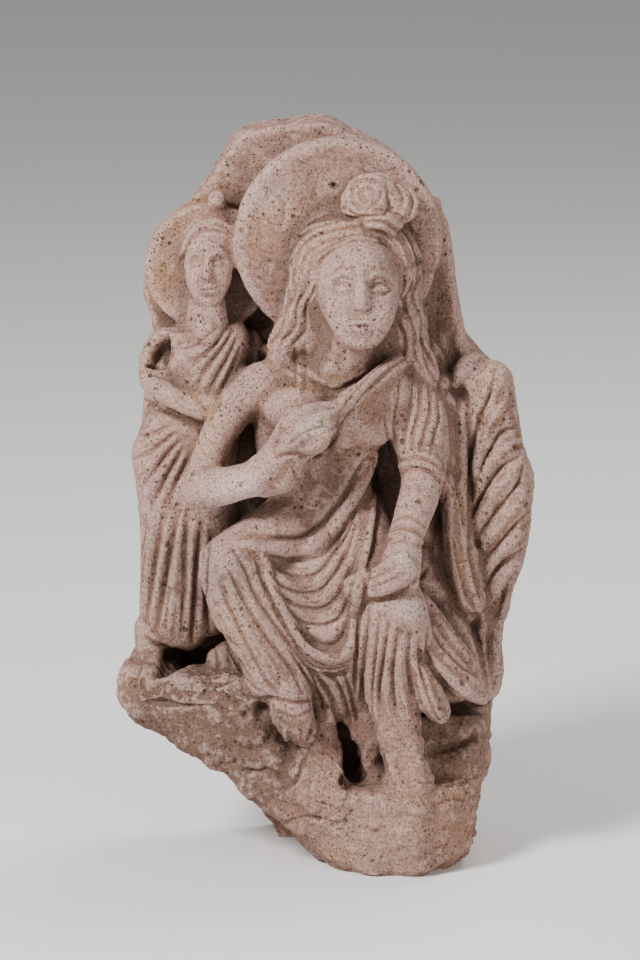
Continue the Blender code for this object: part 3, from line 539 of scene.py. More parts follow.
def features(middle, crown, chin, width, turn):
    """The features of the same face as three passes of strokes: broad, middling and fine."""
    tall = crown - chin
    s = width / 41
    line = chin + tall * 0.5
    brow = chin + tall * 0.595
    nose = chin + 0.315 * tall
    mouth = chin + 0.205 * tall
    m = middle + turn

    def mark(width, depth, *points):
        """A stroke through points of (x from the middle line, a level, height over that level)."""
        return cut(width * s, depth * s, *[(m + x * s, level + rise * s) for x, level, rise in points])

    broad = [mark(4.6, -1.5, (-0.5, chin, 5), (0.5, chin, 5)),
             mark(5, -1.1, (-3, mouth, 0), (3, mouth, 0)),
             mark(3.2, -3.6, (0, brow, -3), (0, line, -2), (0, nose, 4), (0, nose, 1.5)),
             mark(3.6, 1.2, (-6, mouth, -5.5), (0, mouth, -5), (6, mouth, -5.5))]
    middling = [mark(2.3, -2.0, (-0.6, nose, 1.4), (0.6, nose, 1.4)),
                mark(1.5, -1.3, (-5, mouth, 0.6), (-1.8, mouth, 1.9), (0, mouth, 1.5), (1.8, mouth, 1.9),
                     (5, mouth, 0.6)),
                mark(1.7, -1.4, (-3.6, mouth, -1.2), (0, mouth, -2.2), (3.6, mouth, -1.2))]
    fine = [mark(0.75, 1.6, (-5.6, mouth, 0.2), (-2, mouth, 0.2), (0, mouth, -0.3), (2, mouth, 0.2),
                 (5.6, mouth, 0.2)),
            mark(0.9, 0.6, (0, nose, -0.6), (0, mouth, 3))]
    for side in (-1, 1):
        eye = side * 9
        broad += [mark(4.4, 2.9, (eye - 3, line, -0.5), (eye + 3, line, -0.5)),
                  mark(7, -1.3, (side * 11, nose, 3), (side * 12, nose, 5))]
        middling += [mark(3.0, -2.6, (eye - 1.8, line, -0.6), (eye + 1.8, line, -0.6)),
                     mark(1.9, -1.2, (side * 2.6, brow, -1.6), (side * 6.5, brow, 0.8),
                          (side * 11, brow, 0.6), (side * 14.5, brow, -2)),
                     mark(1.7, -1.3, (side * 2.4, nose, 1.4), (side * 3.2, nose, 2.2))]
        for wide, deep, reach, end, rise in ((1.05, 1.9, 5.2, -0.8, 2.2), (0.95, 1.4, 5, -1.4, -3),
                                             (0.95, 1.1, 5.6, 0.8, 4.6)):
            fine.append(mark(wide, deep, *[(eye + reach * k, line, rise + (end - rise) * k * k)
                                           for k in (-1, -0.6, -0.2, 0.2, 0.6, 1)]))
        fine.append(mark(1.0, 1.1, (side * 4.6, nose, 4.5), (side * 5, nose, 1.5)))
    return broad, middling, fine


HEAD = (14, 322, 259, 42, 1.5)
SMALL_HEAD = (-60, 327, 281, 27, -0.5)
oval(clay, tree, *HEAD)
oval(clay, tree, *SMALL_HEAD)
lump(clay, (-60, 285, -2, 8.5), (-60, 272, 0, 10.5))

# Hands and foot: a worn fist before the breast, a hand laid along the knee, and the hanging foot.
fist = [[(-22, 214, 5), (-13, 221, 6), (-5, 225, 5)]]
fingers = fan([(-22, 222, 2), (-14, 229, 3), (-6, 232, 2.9), (3, 233.5, 1.8)],
              [(-16, 212.5, 2), (-9, 213, 2.8), (-3, 217, 2.8), (2, 222, 1.8)], 4)
thumb = [[(-26, 211, 2), (-20, 214, 4), (-14, 218, 3.4)]]
resting = fan([(38, 160, 2.4), (31, 156, 3.2), (24, 151.5, 3), (18, 148.5, 2)],
              [(42, 152, 2.4), (34, 146.5, 3.2), (26, 142.5, 3), (19, 140.5, 2)], 4)
toes = fan([(-22, 73, 1.6), (-21, 67, 1.8)], [(-12, 73, 1.4), (-13, 67, 1.5)], 4)
laid(clay, tree, fist, 0.4, 3)
laid(clay, tree, fingers, 0.4, 3)
laid(clay, tree, thumb, 0.25, 3)
laid(clay, tree, resting, 0.1, 3)
laid(clay, tree, toes, 0.3, 2)

# The attendant's dress: folds across the chest, the arm's thick roll of cloth, and the head-scarf.
arm_roll = [[(-93, 249, 3), (-89, 244.5, 5), (-83, 240.5, 5.6), (-76, 236.6, 5.4), (-69, 233, 5),
             (-62, 229, 4)]]
head_scarf = [[(-74, 304, 1), (-71, 314, 2), (-66, 321, 2.3), (-57, 324, 2.3), (-49, 321, 1.6)],
              [(-80, 299, 1.2), (-75.5, 305, 1.8), (-71, 313, 1.6)]]
laid(clay, tree, arm_roll + head_scarf, 0.45, 3)

# The twisted trunk: thick strands wound down and to the left, fat rolls of clay laid on the leaning
# mass, with a smooth column beside them. Then every roll is wetted into the skin, at a finer grain.
twists = [[(90, 142, 2), (86, 132, 3.2), (83.5, 120, 3.4), (83, 100, 2)],
          [(76, 130, 2), (77, 116, 2.8), (79, 100, 2.8), (80, 88, 2)],
          [(75, 258, 3), (69, 254, 5.5), (64, 248, 5), (61, 243, 2.5)],
          [(66, 236, 2), (65, 220, 3.4), (65, 200, 3.6), (65, 180, 3.4), (66, 162, 2.6)]]
laid(clay, tree, twists, 0.35)
FINE_GRAIN = 0.0009
skin = joined(clay, FINE_GRAIN, 2)

# The carving: every fold is a groove pressed between two raised lines, and the lines below are
# named for where they lie. Widths and depths are in drawn millimetres.


def folds(width, depth, swell, *grooves, breadth=1.25):
    """Grooves with a raised fold, so many times as broad, halfway between each and the next."""
    made = [cut(width, depth, *groove) for groove in grooves]
    for one, other in zip(grooves, grooves[1:]):
        lines = [[line[round(i * (len(line) - 1) / 6)] for i in range(7)]
                 for line in (along(one, 1), along(other, 1))]
        middle = [tuple((p + q) / 2) for p, q in zip(*lines)]
        made.append(cut(width * breadth, -swell, *middle))
    return made


lap = [
    cut(1.5, 2.2, (21.7, 207), (17.5, 206), (11, 196), (6, 187.5), (-1, 179), (-7, 172.5), (-15, 168.5),
        (-27, 168.5), (-38, 170)),
    cut(1.3, 1.8, (-32, 159.5), (-20, 157.5), (-10, 158), (-2, 161.5), (6, 171), (13, 183)),
    cut(1.4, 2.4, (22, 207), (22.5, 199), (23.8, 190), (23.5, 177), (21.5, 163), (18.5, 153)),
    cut(1.0, 0.9, (3, 166), (-4, 160), (-14, 158), (-23, 160)),
    *folds(0.95, 1.9, 0.6,
           ((-30, 158), (-23, 151.5), (-16, 149), (-9, 149.5), (-3, 153.5), (2, 161), (9, 172),
            (15, 188)),
           ((-30.5, 152), (-24, 145), (-17, 141.5), (-10, 141), (-4, 143), (2, 150), (8, 161), (13, 176)),
           ((-28, 145), (-23, 139), (-16, 134.5), (-7, 133), (-1, 135), (5, 141), (10, 151), (14, 164)),
           ((-23, 138), (-18, 130), (-12, 126), (-4, 125), (3, 127.5), (7.5, 134), (11, 144))),
    cut(2.4, 3.4, (-16, 124), (-9, 117), (-1, 114.5), (5, 118), (8, 125)),
    cut(1.2, 1.8, (-37, 158), (-33, 146), (-26, 131), (-17, 115), (-9, 104.5), (2, 102.5), (12, 105)),
    cut(1.2, 1.6, (15, 120), (16.5, 138), (19.5, 152), (22.5, 166)),
    *folds(1.2, 2.0, 0.9, ((-20, 112), (-13, 101), (-6, 90), (-2, 78)),
           ((-12, 106), (-5, 97), (1, 87), (4, 76)),
           ((-2, 102), (4, 95), (8, 86), (11, 74)), ((6, 102), (10, 92), (12, 82), (15, 70))),
]
right_shin = [
    *folds(1.2, 1.8, 0.7,
           ((-49, 163), (-42, 153), (-37.5, 142), (-31, 131), (-24, 121), (-16, 110), (-9, 100),
            (-5, 90)),
           ((-50, 152), (-45, 142), (-39, 131), (-33, 121), (-27, 113), (-21, 105), (-16, 97), (-14, 91)),
           ((-53, 140), (-48, 130), (-43.5, 120), (-39.5, 112), (-36, 105), (-32, 98), (-28.5, 94),
            (-26, 91)),
           ((-56, 128), (-53, 120), (-50, 112), (-47, 106), (-44, 101), (-41, 97), (-38, 94), (-35, 92))),
    cut(1.2, 2.0, (-43, 90), (-36, 88), (-28, 88.5), (-20, 87), (-12, 87), (-6, 88)),
]
left_shin = [
    *folds(1.2, 2.3, 1.2,
           ((14, 128), (13.5, 116), (12.5, 103), (12.5, 90)),
           ((19, 134), (17.6, 118), (16.2, 102), (15.5, 88)),
           ((24.6, 131), (22.4, 112), (21, 95), (20.5, 78)),
           ((29, 127), (26, 108), (24, 92), (25, 76)),
           ((34, 123), (31, 105), (31.6, 88), (35, 72)),
           ((39.5, 121), (38.4, 108), (40.4, 93), (45, 80))),
    cut(1.6, 2.6, (44, 118), (44.6, 106), (48, 92), (53, 78)),
    cut(1.6, 2.6, (48, 122), (48.5, 111), (52, 101), (60, 92.5), (70, 85.5), (79, 83)),
    cut(1.5, 2.6, (50, 130), (52, 120), (59, 111), (68, 102.5), (73, 99)),
    cut(1.5, 2.2, (54.6, 131), (63, 119.5), (70, 110)),
    cut(1.4, 2.0, (60, 136), (69, 126), (75, 115)),
]
sleeve = [
    *folds(1.0, 1.25, 0.35,
           ((26.4, 229), (28, 222), (29.5, 213), (32, 205)),
           ((34, 250), (33.6, 236), (31.5, 224), (33, 210)),
           ((41, 246), (39.5, 231), (37, 220), (36.5, 208)),
           ((45.5, 246), (44, 231), (41, 219), (40.5, 209)),
           ((49, 244), (49.5, 230), (46.5, 219), (45, 209)),
           ((53, 240), (54, 228), (51.5, 217), (49.5, 208))),
    cut(1.1, 1.8, (35, 199.5), (41.6, 202), (48.5, 200.6), (54, 196)),
    cut(1.0, 1.5, (35, 205.8), (41, 207.8), (48.6, 206), (55, 201.5)),
    cut(1.0, 1.4, (30, 170.6), (35.5, 172.8), (41.2, 171.2), (46.5, 167.4)),
    cut(1.0, 1.4, (32, 176), (37, 178.6), (42.5, 177), (47, 173)),
]
breast = [
    cut(1.4, 2.4, (1, 216.5), (5.5, 223), (12, 232.5), (20, 241.5), (28, 249.5), (36, 256)),
    cut(1.0, 1.2, (4, 228), (10, 237), (18, 247), (26, 254)),
    cut(1.0, 1.4, (-24, 254), (-13, 247.8), (-6, 243.6), (2, 240.4), (10, 244), (19, 249)),
    cut(1.0, 1.2, (-17.8, 266), (-17.2, 254), (-17.4, 242)),
    cut(1.0, 1.2, (-12.4, 264), (-12.2, 252), (-12.4, 241)),
    cut(2.2, 0.8, (2, 213), (9, 211), (17, 214)),
    cut(1.6, 0.8, (-20, 208), (-16, 196), (-10, 184)),
]
small_figure = [
    *folds(1.2, 1.9, 0.9,
           ((-50, 275), (-56, 265), (-63, 259), (-70, 256)),
           ((-48, 271), (-54, 262), (-60, 254), (-67, 244)),
           ((-46.5, 267), (-51, 257), (-56, 248), (-61, 239)),
           ((-45, 262), (-48.6, 253), (-52, 245), (-55, 239))),
    cut(1.8, 4.5, (-80.6, 268), (-81, 261), (-81.5, 254)),
    cut(1.6, 4, (-80, 252.6), (-86, 252), (-91, 253.4)),
    cut(0.9, 1.1, (-80, 262), (-70, 262.5), (-62, 267), (-55, 273)),
    cut(0.9, 1.2, (-85, 272), (-76, 270.6), (-66, 271)),
    cut(1.2, 2.4, (-94, 238), (-87, 233), (-80, 229.6), (-73, 226), (-66, 221)),
    *folds(1.2, 1.9, 0.9,
           ((-97, 219.5), (-90, 219.5), (-84, 221.5), (-79, 224)),
           ((-98, 207), (-90, 210.5), (-83, 215.5), (-77, 220)),
           ((-94, 193), (-87, 201.5), (-80.5, 210), (-75, 216)),
           ((-90, 181), (-84, 193), (-78.5, 203), (-73.5, 212)),
           ((-80, 186), (-76.5, 195), (-73, 202), (-69.5, 209))),
    *folds(1.4, 2.6, 1.1,
           ((-92, 172), (-95, 158), (-97, 142), (-97, 128)),
           ((-83, 180), (-86, 164), (-89, 146), (-92, 126)),
           ((-76, 178), (-80, 159), (-83, 142), (-87, 120)),
           ((-71, 182), (-72.3, 162), (-73, 140), (-74.5, 118)),
           ((-64, 176), (-66, 156), (-67.5, 136), (-69, 115)),
           ((-59, 168), (-61, 152), (-61.5, 134), (-60, 121))),
    cut(1.2, 1.6, (-93, 119), (-87, 114.5), (-80, 112), (-73, 109), (-67, 111), (-60, 117)),
    cut(0.9, 1.1, (-78, 300), (-73, 307), (-68.5, 316), (-60, 320.5), (-50, 318)),
]
trunk = [
    *folds(1.2, 2.8, 2.4,
           ((82, 250), (79, 238), (75, 229), (71.5, 216), (70, 203), (71, 187)),
           ((93, 223), (86, 220), (80.5, 213), (76, 203), (76.6, 194)),
           ((94, 208), (86, 203.5), (79, 195), (74, 186), (70.6, 177)),
           ((96, 204), (94, 195), (87.5, 186.5), (82, 180), (73, 167)),
           ((100, 181), (93, 174), (86.5, 167), (79, 158)),
           ((98, 163), (89, 156.5), (82, 150), (77, 141)),
           ((93, 152), (88, 141), (84, 129)), breadth=2.6),
    cut(2.0, 3.2, (98, 214), (93, 213), (88, 215)), cut(1.8, 2.6, (72.5, 171), (74, 165), (76, 161)),
    cut(1.4, 2.2, (61, 168), (64.5, 152), (69, 138), (73, 129)),
    cut(1.3, 1.4, (45.5, 264), (48, 253), (55, 242)),
    cut(1.3, 1.4, (50, 272), (55, 264), (60, 253), (60, 242)),
    cut(1.2, 1.4, (51, 292), (46.5, 281), (47.5, 273), (53, 266), (58, 258)),
    cut(1.4, 1.8, (80, 126), (79.5, 110), (82, 92)),
]
plinth = [
    cut(0.9, 2.4, (-97, 85), (-86, 85.6), (-77, 84.6), (-61, 84.4), (-49, 81.5)),
    cut(1.0, 1.8, (-58, 114), (-56, 105), (-57, 97)), cut(0.9, 1.4, (-51, 112), (-49.6, 103), (-51, 95)),
    cut(1.4, 2.2, (-63, 97), (-56, 95), (-47, 97)), cut(1.2, 1.8, (-92, 100), (-94, 94), (-92, 88)),
    cut(1.6, 2.4, (-50, 55), (-40, 52), (-30, 52.5), (-22, 49)),
    cut(1.4, 2.4, (-52, 52), (-51, 42), (-52, 34)),
    cut(1.6, 2.4, (-9, 66), (-14, 54), (-18, 46), (-24, 42)),
    cut(1.4, -2.2, (-2, 60), (5, 52), (7, 41), (4, 34)),
    cut(1.0, 1.6, (69, 43), (67, 36), (66, 29)),
    cut(1.0, 1.4, (60, 21), (57, 15), (55, 9)),
    cut(0.9, 1.2, (-42.5, 51), (-41.5, 46), (-41, 41)),
    cut(1.6, 2.0, (44, 47), (56, 44.5), (68, 46), (77, 49)),
    cut(1.4, 1.6, (-36, 27), (-24, 25), (-10, 29), (6, 26), (20, 30)),
]
hair = [
    *folds(0.9, 1.3, 0.5,
           ((-21, 296), (-20, 308), (-13, 318), (-2, 322.6), (8, 324.6), (16, 325)),
           ((-18, 297), (-16.5, 307), (-10, 315), (-1, 318.6), (8, 320.6), (16, 321)),
           ((-14, 298), (-12.5, 306), (-6, 311.6), (1, 314.6), (9, 316.8), (16, 317.4))),
    *folds(0.9, 1.3, 0.5,
           ((18, 328), (28, 328.6), (39, 322), (46, 308)),
           ((18, 323), (27, 322.6), (36, 316), (42, 303)),
           ((18, 318.6), (26, 317.6), (33, 311.6), (38, 300))),
    cut(1.1, 1.8, (-6, 301), (-3, 306.6), (4, 311.6), (15, 314.6), (26, 312.4), (35, 305)),
    cut(1.0, 1.2, (4, 329), (10, 325.6), (19, 325)),
    cut(1.2, 2.2, (6, 331.5), (12, 326.5), (20, 325.6), (28, 328), (28.5, 336), (27, 343)),
    *[cut(1.0, 0.8, *[(19 + r * math.cos(a), 336.6 + 0.86 * r * math.sin(a))
                      for a in np.linspace(t, t + 2.6, 6)])
      for r, t in ((8, 0.9), (4.4, 2.2), (6, 4.2))],
    cut(0.9, 1.2, (32, 342), (35.6, 335), (34.6, 327)), cut(0.9, 1.2, (37, 341), (40.6, 334), (39, 326)),
    *[cut(1.0, 1.8, *[(x + 1.5 * math.sin(0.8 * k + i), h) for k, (x, h) in enumerate(along(stroke, 3))])
      for first, last, count in ((((-18.6, 296), (-19, 285), (-23.6, 274), (-30.6, 263)),
                                  ((-8.6, 293), (-10, 283), (-13, 273), (-18, 263)), 3),
                                 (((36.5, 296), (34, 284), (34.6, 270), (39, 256)),
                                  ((43.6, 298), (42.4, 285), (45.6, 268), (51, 251)), 3))
      for i, stroke in enumerate(fan(first, last, count))],
]
hands = [
    cut(0.9, 0.8, (-21, 219), (-13, 224.6), (-5, 227.6), (2, 229.6)),
    cut(0.9, 1.0, (-19, 216), (-12, 219.6), (-4, 222.6), (2, 225.6)),
    cut(1.6, 2.2, (-26, 208), (-18, 209.5), (-10, 207.6), (-2, 212), (4, 219)),
    cut(0.9, 1.3, (35, 155.6), (28, 151.6), (21, 148.6), (15, 146.4)),
    cut(0.9, 1.3, (37, 151.6), (30, 147.6), (23, 144.8), (15.6, 143)),
    cut(1.6, 2.6, (49, 153), (44, 148), (36, 141.6), (27, 138), (17, 135.6)),
    cut(1.0, 1.2, (30, 165), (36, 166.6), (43, 164)),
]
foot = [cut(0.9, 1.2, (-25, 82), (-17, 79.6), (-9, 83)), cut(0.9, 1.0, (-24, 77), (-17, 75), (-10, 78)),
        cut(0.8, 1.0, (-22, 72), (-17, 70), (-11, 72.6)),
        *[cut(0.7, 0.9, (x, 71), (x + 0.4, 66)) for x in (-20, -17, -14)]]
holes = [[(x, h, w, d), (x + 0.6, h - 0.4, w, d)] for x, h, w, d in (
    (1.5, 342, 1.5, 4), (-43, 80, 1.5, 3.4), (-47, 86, 1.1, 2.4), (44, 186, 1.2, 2.6),
    (98, 185, 1.6, 3.4), (10, 135, 1.2, 2.4), (66, 96, 1.3, 2.6), (54, 84, 1.2, 2.4),
    (44, 112, 1.1, 2.2), (-2, 84, 1.2, 2.2), (-60, 60, 1.4, 2.2), (22, 22, 1.1, 1.8),
    (-44, 320, 1.0, 1.6), (-30, 305, 1.0, 1.6), (62, 120, 1.2, 2.2), (-68, 200, 1.0, 1.8),
    (30, 330, 1.0, 1.8), (-54, 76, 1.0, 1.8))]
chips = [cut(1.0, 0.9, (-34, 341), (-26, 337), (-23, 328), (-27, 316)),
         cut(1.2, 1.2, (-76, 355), (-66, 352), (-56, 358)),
         cut(1.0, 1.0, (-66, 344), (-58, 349), (-50, 347)),
         cut(1.0, 1.0, (10, 352), (20, 348), (34, 349)),
         cut(0.9, 1.0, (-98, 112), (-94, 104), (-97, 96)), cut(1.1, 1.2, (52, 34), (60, 38), (70, 36))]
carving = lap + right_shin + left_shin + sleeve + breast + small_figure + trunk + plinth
faces = [features(*HEAD), features(*SMALL_HEAD)]
for stage, (strokes, step) in enumerate(((carving, 0.7), (hair + hands + foot, 0.6),
                                         (holes + chips, 0.4))):
    pressed(skin, faces[0][stage] + faces[1][stage] + strokes, step)

# Age: the skin is worn and lumpy, far more so on the broken plinth, the slab's rim and the trunk
# than on the figures, and it is pitted all over where grains and straw have dropped out.
SEED = 7
PITS = 600


def drawn_height(co):
    """How high on the drawing vertices lie, in drawn millimetres."""
    upright = co[:, 2] * math.cos(LOOK_DOWN) + co[:, 1] * math.sin(LOOK_DOWN)
    return upright / UNIT + FOOT_FRONT * math.sin(LOOK_DOWN)


co, out, tree = surface(skin)
high = drawn_height(co)
broken = np.clip((80 + 13 * (co[:, 0] < -25 * UNIT) + 16 * (co[:, 0] < -43 * UNIT) - high) / 10, 0, 1)
broken = np.maximum(broken, np.clip((co[:, 1] / UNIT - 14) / 6, 0, 1) * 0.6)
broken = np.maximum(broken, np.clip((co[:, 0] / UNIT - 66) / 8, 0, 1) * 0.35)
calm = np.ones(len(co))
for middle, crown, chin, width, turn in (HEAD, SMALL_HEAD):
    apart = np.hypot(co[:, 0] / UNIT - middle, high - (crown + chin) / 2 + 4) / (crown - chin)
    calm = np.minimum(calm, 0.35 + 0.65 * np.clip((apart - 0.4) / 0.15, 0, 1))
lumps = np.array([noise.fractal(Vector(p) / (UNIT * 13), 0.9, 2.1, 4) for p in co])
grit = np.array([noise.fractal(Vector(p) / (UNIT * 3.4), 0.8, 2.2, 3) for p in co])
facets = np.array([noise.voronoi(Vector(p) / (UNIT * 17))[0][0] if b > 0 else 0.4
                   for p, b in zip(co, broken)])
rough = lumps * (0.25 + 1.5 * broken) + grit * (0.16 + 0.45 * broken)
push = (rough + (0.4 - facets) * 3 * broken) * UNIT * calm
push *= np.clip((BACK_DEPTH - co[:, 1]) / 0.003, 0, 1) * np.clip(co[:, 2] / 0.002 + 1, 0, 1)
co = co + out * push[:, None]

random = np.random.default_rng(SEED)
for place in random.choice(len(co), PITS, replace=False):
    size = (0.35 + 0.75 * random.random() ** 4) * UNIT * calm[place]
    near = np.where((np.abs(co - co[place]) < 2.2 * size).all(1))[0]
    gap = np.linalg.norm(co[near] - co[place], axis=1) / size
    co[near] -= out[near] * (1.1 * size * np.exp(-1.6 * gap ** 2))[:, None]
skin.vertices.foreach_set("co", co.ravel())
skin.update()

# The mesh is thinned to what the shared library takes, and its wall side and resting side are cut
# flat, as they were against the wall and the ground.
MOST_TRIANGLES = 190000
body = bpy.data.objects.new("skin", skin)
bpy.context.scene.collection.objects.link(body)
thin = body.modifiers.new("thin", "DECIMATE")
thin.ratio = MOST_TRIANGLES / (2 * len(skin.polygons))
relief_mesh = bpy.data.meshes.new_from_object(body.evaluated_get(bpy.context.evaluated_depsgraph_get()))
bpy.data.objects.remove(body)
form = bmesh.new()
form.from_mesh(relief_mesh)
for level, outside in ((Vector((0, 0, 0)), Vector((0, 0, -1))),
                       (Vector((0, BACK_DEPTH, 0)), Vector((0, 1, 0)))):
    bmesh.ops.bisect_plane(
        form, geom=form.verts[:] + form.edges[:] + form.faces[:], dist=1e-6, plane_co=level,
        plane_no=outside, clear_outer=True
    )
    rim = [e for e in form.edges if e.is_boundary]
    bmesh.ops.holes_fill(form, edges=rim, sides=0)
bmesh.ops.triangulate(form, faces=[f for f in form.faces if len(f.verts) > 4])
form.to_mesh(relief_mesh)
form.free()
for polygon in relief_mesh.polygons:
    polygon.use_smooth = True

# What the material needs from the form: how concave and how worn each place is, from the difference
# between the skin and its own smoothed copies. Concave places get brown earth and painted shade.
co, out, tree = surface(relief_mesh)
ends = np.empty(len(relief_mesh.edges) * 2, dtype=np.int64)
relief_mesh.edges.foreach_get("vertices", ends)
a, b = ends.reshape(-1, 2).T
count = np.bincount(np.concatenate([a, b]), minlength=len(co))
soft = co.copy()
levels = {}
for turn in range(1, 61):
    soft = np.stack([
        np.bincount(a, soft[b, k], len(co)) + np.bincount(b, soft[a, k], len(co)) for k in range(3)
    ], axis=1) / count[:, None]
    if turn in (4, 20, 60):
        levels[turn] = ((soft - co) * out).sum(1) / UNIT
fallen = np.clip((92 - drawn_height(co)) / 14, 0, 1)
for level in levels:
    levels[level] *= 1 - 0.6 * fallen
for name, value in (("hollow_earth_and_shade", levels[60] * 0.55 + levels[20] * 0.6), ("worn", -levels[4] * 2.5)):
    layer = relief_mesh.attributes.new(name, "FLOAT", "POINT")
    layer.data.foreach_set("value", np.clip(value, -2, 2).astype(np.float32))

# Painted shade, partly earth: how occluded a place is, from rays from a thinned set of places, spread
# evenly over the hemisphere, and how many of them meet the relief again within 45 mm.
PLACES = 14000
RAYS = 18
REACH = 0.045
GOLDEN_ANGLE = 2.39996
sample = random.choice(len(co), PLACES, replace=False)
rays = []
for i in range(RAYS):
    rise = (i + 0.5) / RAYS
    spin = i * GOLDEN_ANGLE
    rays.append(Vector((math.sqrt(1 - rise * rise) * math.cos(spin),
                        math.sqrt(1 - rise * rise) * math.sin(spin), rise)))
cover = []
for i in sample:
    normal = Vector(out[i])
    turned = normal.to_track_quat("Z", "Y")
    start = Vector(co[i]) + normal * 0.0006
    cover.append(sum(tree.ray_cast(start, turned @ ray, REACH)[0] is not None for ray in rays) / RAYS)
places = KDTree(len(sample))
for k, i in enumerate(sample):
    places.insert(co[i], k)
places.balance()
shade = np.array([sum(cover[k] for _, k, _ in places.find_n(p, 4)) / 4 for p in co])
layer = relief_mesh.attributes.new("occlusion_earth_and_shade", "FLOAT", "POINT")
layer.data.foreach_set("value", shade.astype(np.float32))

# Broad patches: (x, h, radius, strength) in the drawing, brown if positive, pale if negative. They are
# partly burial stains and partly painted shade (brown, as on the plinth ledge and slope) and painted
# light (pale, as on the slab top and forearm).
stains_and_painted_shading = [(0, 196, 20, 0.6), (-70, 74, 34, 1.5), (-40, 58, 26, 1.5), (-84, 150, 32, 0.45),
          (-60, 250, 20, 0.35), (60, 215, 30, 0.3), (62, 70, 22, 0.7), (-2, 96, 20, 0.6),
          (52, 280, 26, 0.1), (-30, 345, 22, -0.35), (88, 190, 24, -0.25), (20, 20, 40, -0.3),
          (40, 132, 10, -0.6), (-8, 222, 14, -0.6), (38, 158, 10, -0.6), (14, 290, 22, -0.35),
          (-46, 188, 18, -0.7), (-50, 150, 16, 0.7), (40, 225, 18, -0.2)]
across = co[:, 0] / UNIT
high = drawn_height(co)
tint = np.zeros(len(co))
for x, h, radius, strength in stains_and_painted_shading:
    tint += strength * np.exp(-1.2 * ((across - x) ** 2 + (high - h) ** 2) / radius ** 2)
tint[co[:, 1] > 0.9 * BACK_DEPTH] += 0.3
layer = relief_mesh.attributes.new("stain_and_painted_shading", "FLOAT", "POINT")
layer.data.foreach_set("value", tint.astype(np.float32))

relief = bpy.data.objects.new("stucco_relief_surface", relief_mesh)
bpy.context.scene.collection.objects.link(relief)
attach(relief, "root")
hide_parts("stucco_relief")

# Old lime stucco, cast and pressed by hand over sand and chopped straw, then buried: dry, dead
# matt, pinkish beige. What the eye sees is its open pores, brown earth left in the hollows, ochre
# stains, and paler, greyer places where the skin is rubbed. Painted shade darkens concave and occluded
# places and brown patches, and painted light brightens pale patches.


def linear(code):
    """An sRGB hex colour as linear light, with alpha."""
    parts = [int(code[i:i + 2], 16) / 255 for i in (0, 2, 4)]
    return tuple(c / 12.92 if c <= 0.04045 else ((c + 0.055) / 1.055) ** 2.4 for c in parts) + (1,)


def add(tree, kind, settings=None, **sources):
    """Adds a node, sets its values and links its inputs."""
    node = tree.nodes.new(kind)
    for name, value in (settings or {}).items():
        if isinstance(name, str) and hasattr(node, name):
            setattr(node, name, value)
        else:
            node.inputs[name].default_value = value
    for name, source in sources.items():
        numbered = name[0] == "i" and name[1:].isdigit()
        tree.links.new(source, node.inputs[int(name[1:]) if numbered else name.replace("_", " ")])
    return node


stucco = bpy.data.materials.new("lime_stucco_aged")
stucco.use_nodes = True
nodes = stucco.node_tree
shader = nodes.nodes["Principled BSDF"]
shader.inputs["Roughness"].default_value = 0.92
shader.inputs["Specular IOR Level"].default_value = 0.2
place = add(nodes, "ShaderNodeTexCoord").outputs["Object"]
MM = 0.001

# Noises, by the width in millimetres of the spots they make: burial stains of 34 and 15 mm, batches
# of stucco 14 mm wide, beds of pores 9 mm wide, and sand, whose real 0.3 mm grains wouldn't show
# here and are drawn 0.6 to 1.1 mm wide.
noises = {}
for name, size, detail, rough in (
    ("ochre", 34, 3, 0.6), ("earthy", 15, 3, 0.55), ("batch", 14, 4, 0.6), ("bed", 9, 2, 0.6),
    ("dark_sand", 1.1, 2, 0.7), ("raised_sand", 0.8, 3, 0.7), ("sand", 0.6, 3, 0.75),
):
    settings = {"Scale": 0.5 / (size * MM), "Detail": detail, "Roughness": rough}
    noises[name] = add(nodes, "ShaderNodeTexNoise", settings, Vector=place).outputs["Fac"]
marks = {}
for name in ("hollow_earth_and_shade", "worn", "occlusion_earth_and_shade", "stain_and_painted_shading"):
    marks[name] = add(nodes, "ShaderNodeAttribute", {"attribute_name": name}).outputs["Fac"]
# The patch map: random earthy noise plus the broad patches, whose brown parts are partly painted shade and
# whose pale parts are partly painted light.
patch = add(nodes, "ShaderNodeMath", {"operation": "MULTIPLY_ADD", 1: 0.4}, i0=noises["earthy"],
            i2=marks["stain_and_painted_shading"]).outputs[0]

batch = add(nodes, "ShaderNodeValToRGB", Fac=noises["batch"])
batch.color_ramp.elements.new(0.5)
for element, (position, code) in zip(batch.color_ramp.elements,
                                     ((0.3, "7F5F52"), (0.52, "947265"), (0.75, "A8867A"))):
    element.position = position
    element.color = linear(code)
colour = batch.outputs["Color"]

# Tints over it, from the oldest to the latest: ochre from the ground; brown and pale grey from the patch
# map, partly ground stains and scoured places and partly painted shade and painted light; the light bare
# edges; brown earth with painted shade in concave places; and a dark painted shade, partly earth, in
# occluded places.
for driver, low, high, most, code in (
    (noises["ochre"], 0.5, 0.68, 0.55, "A27F5C"),
    # Brown from the patch map: ground stains and painted shade.
    (patch, 0.2, 1.0, 0.9, "6A5246"),
    # Pale grey from the patch map: scoured places and painted light.
    (patch, 0.12, -0.5, 0.75, "C0ABA1"),
    (marks["worn"], 0.05, 0.8, 0.4, "C6A89D"),
    # Brown in concave places: earth and painted shade.
    (marks["hollow_earth_and_shade"], 0.2, 1.5, 0.62, "655146"),
    # Dark in occluded places: painted shade, partly earth.
    (marks["occlusion_earth_and_shade"], 0.35, 0.95, 0.75, "4A382D"),
):
    settings = {"interpolation_type": "SMOOTHSTEP", "From Min": low, "From Max": high, "To Max": most}
    share = add(nodes, "ShaderNodeMapRange", settings, Value=driver).outputs["Result"]
    colour = add(nodes, "ShaderNodeMix", {"data_type": "RGBA", 7: linear(code)}, i0=share,
                 i6=colour).outputs[2]

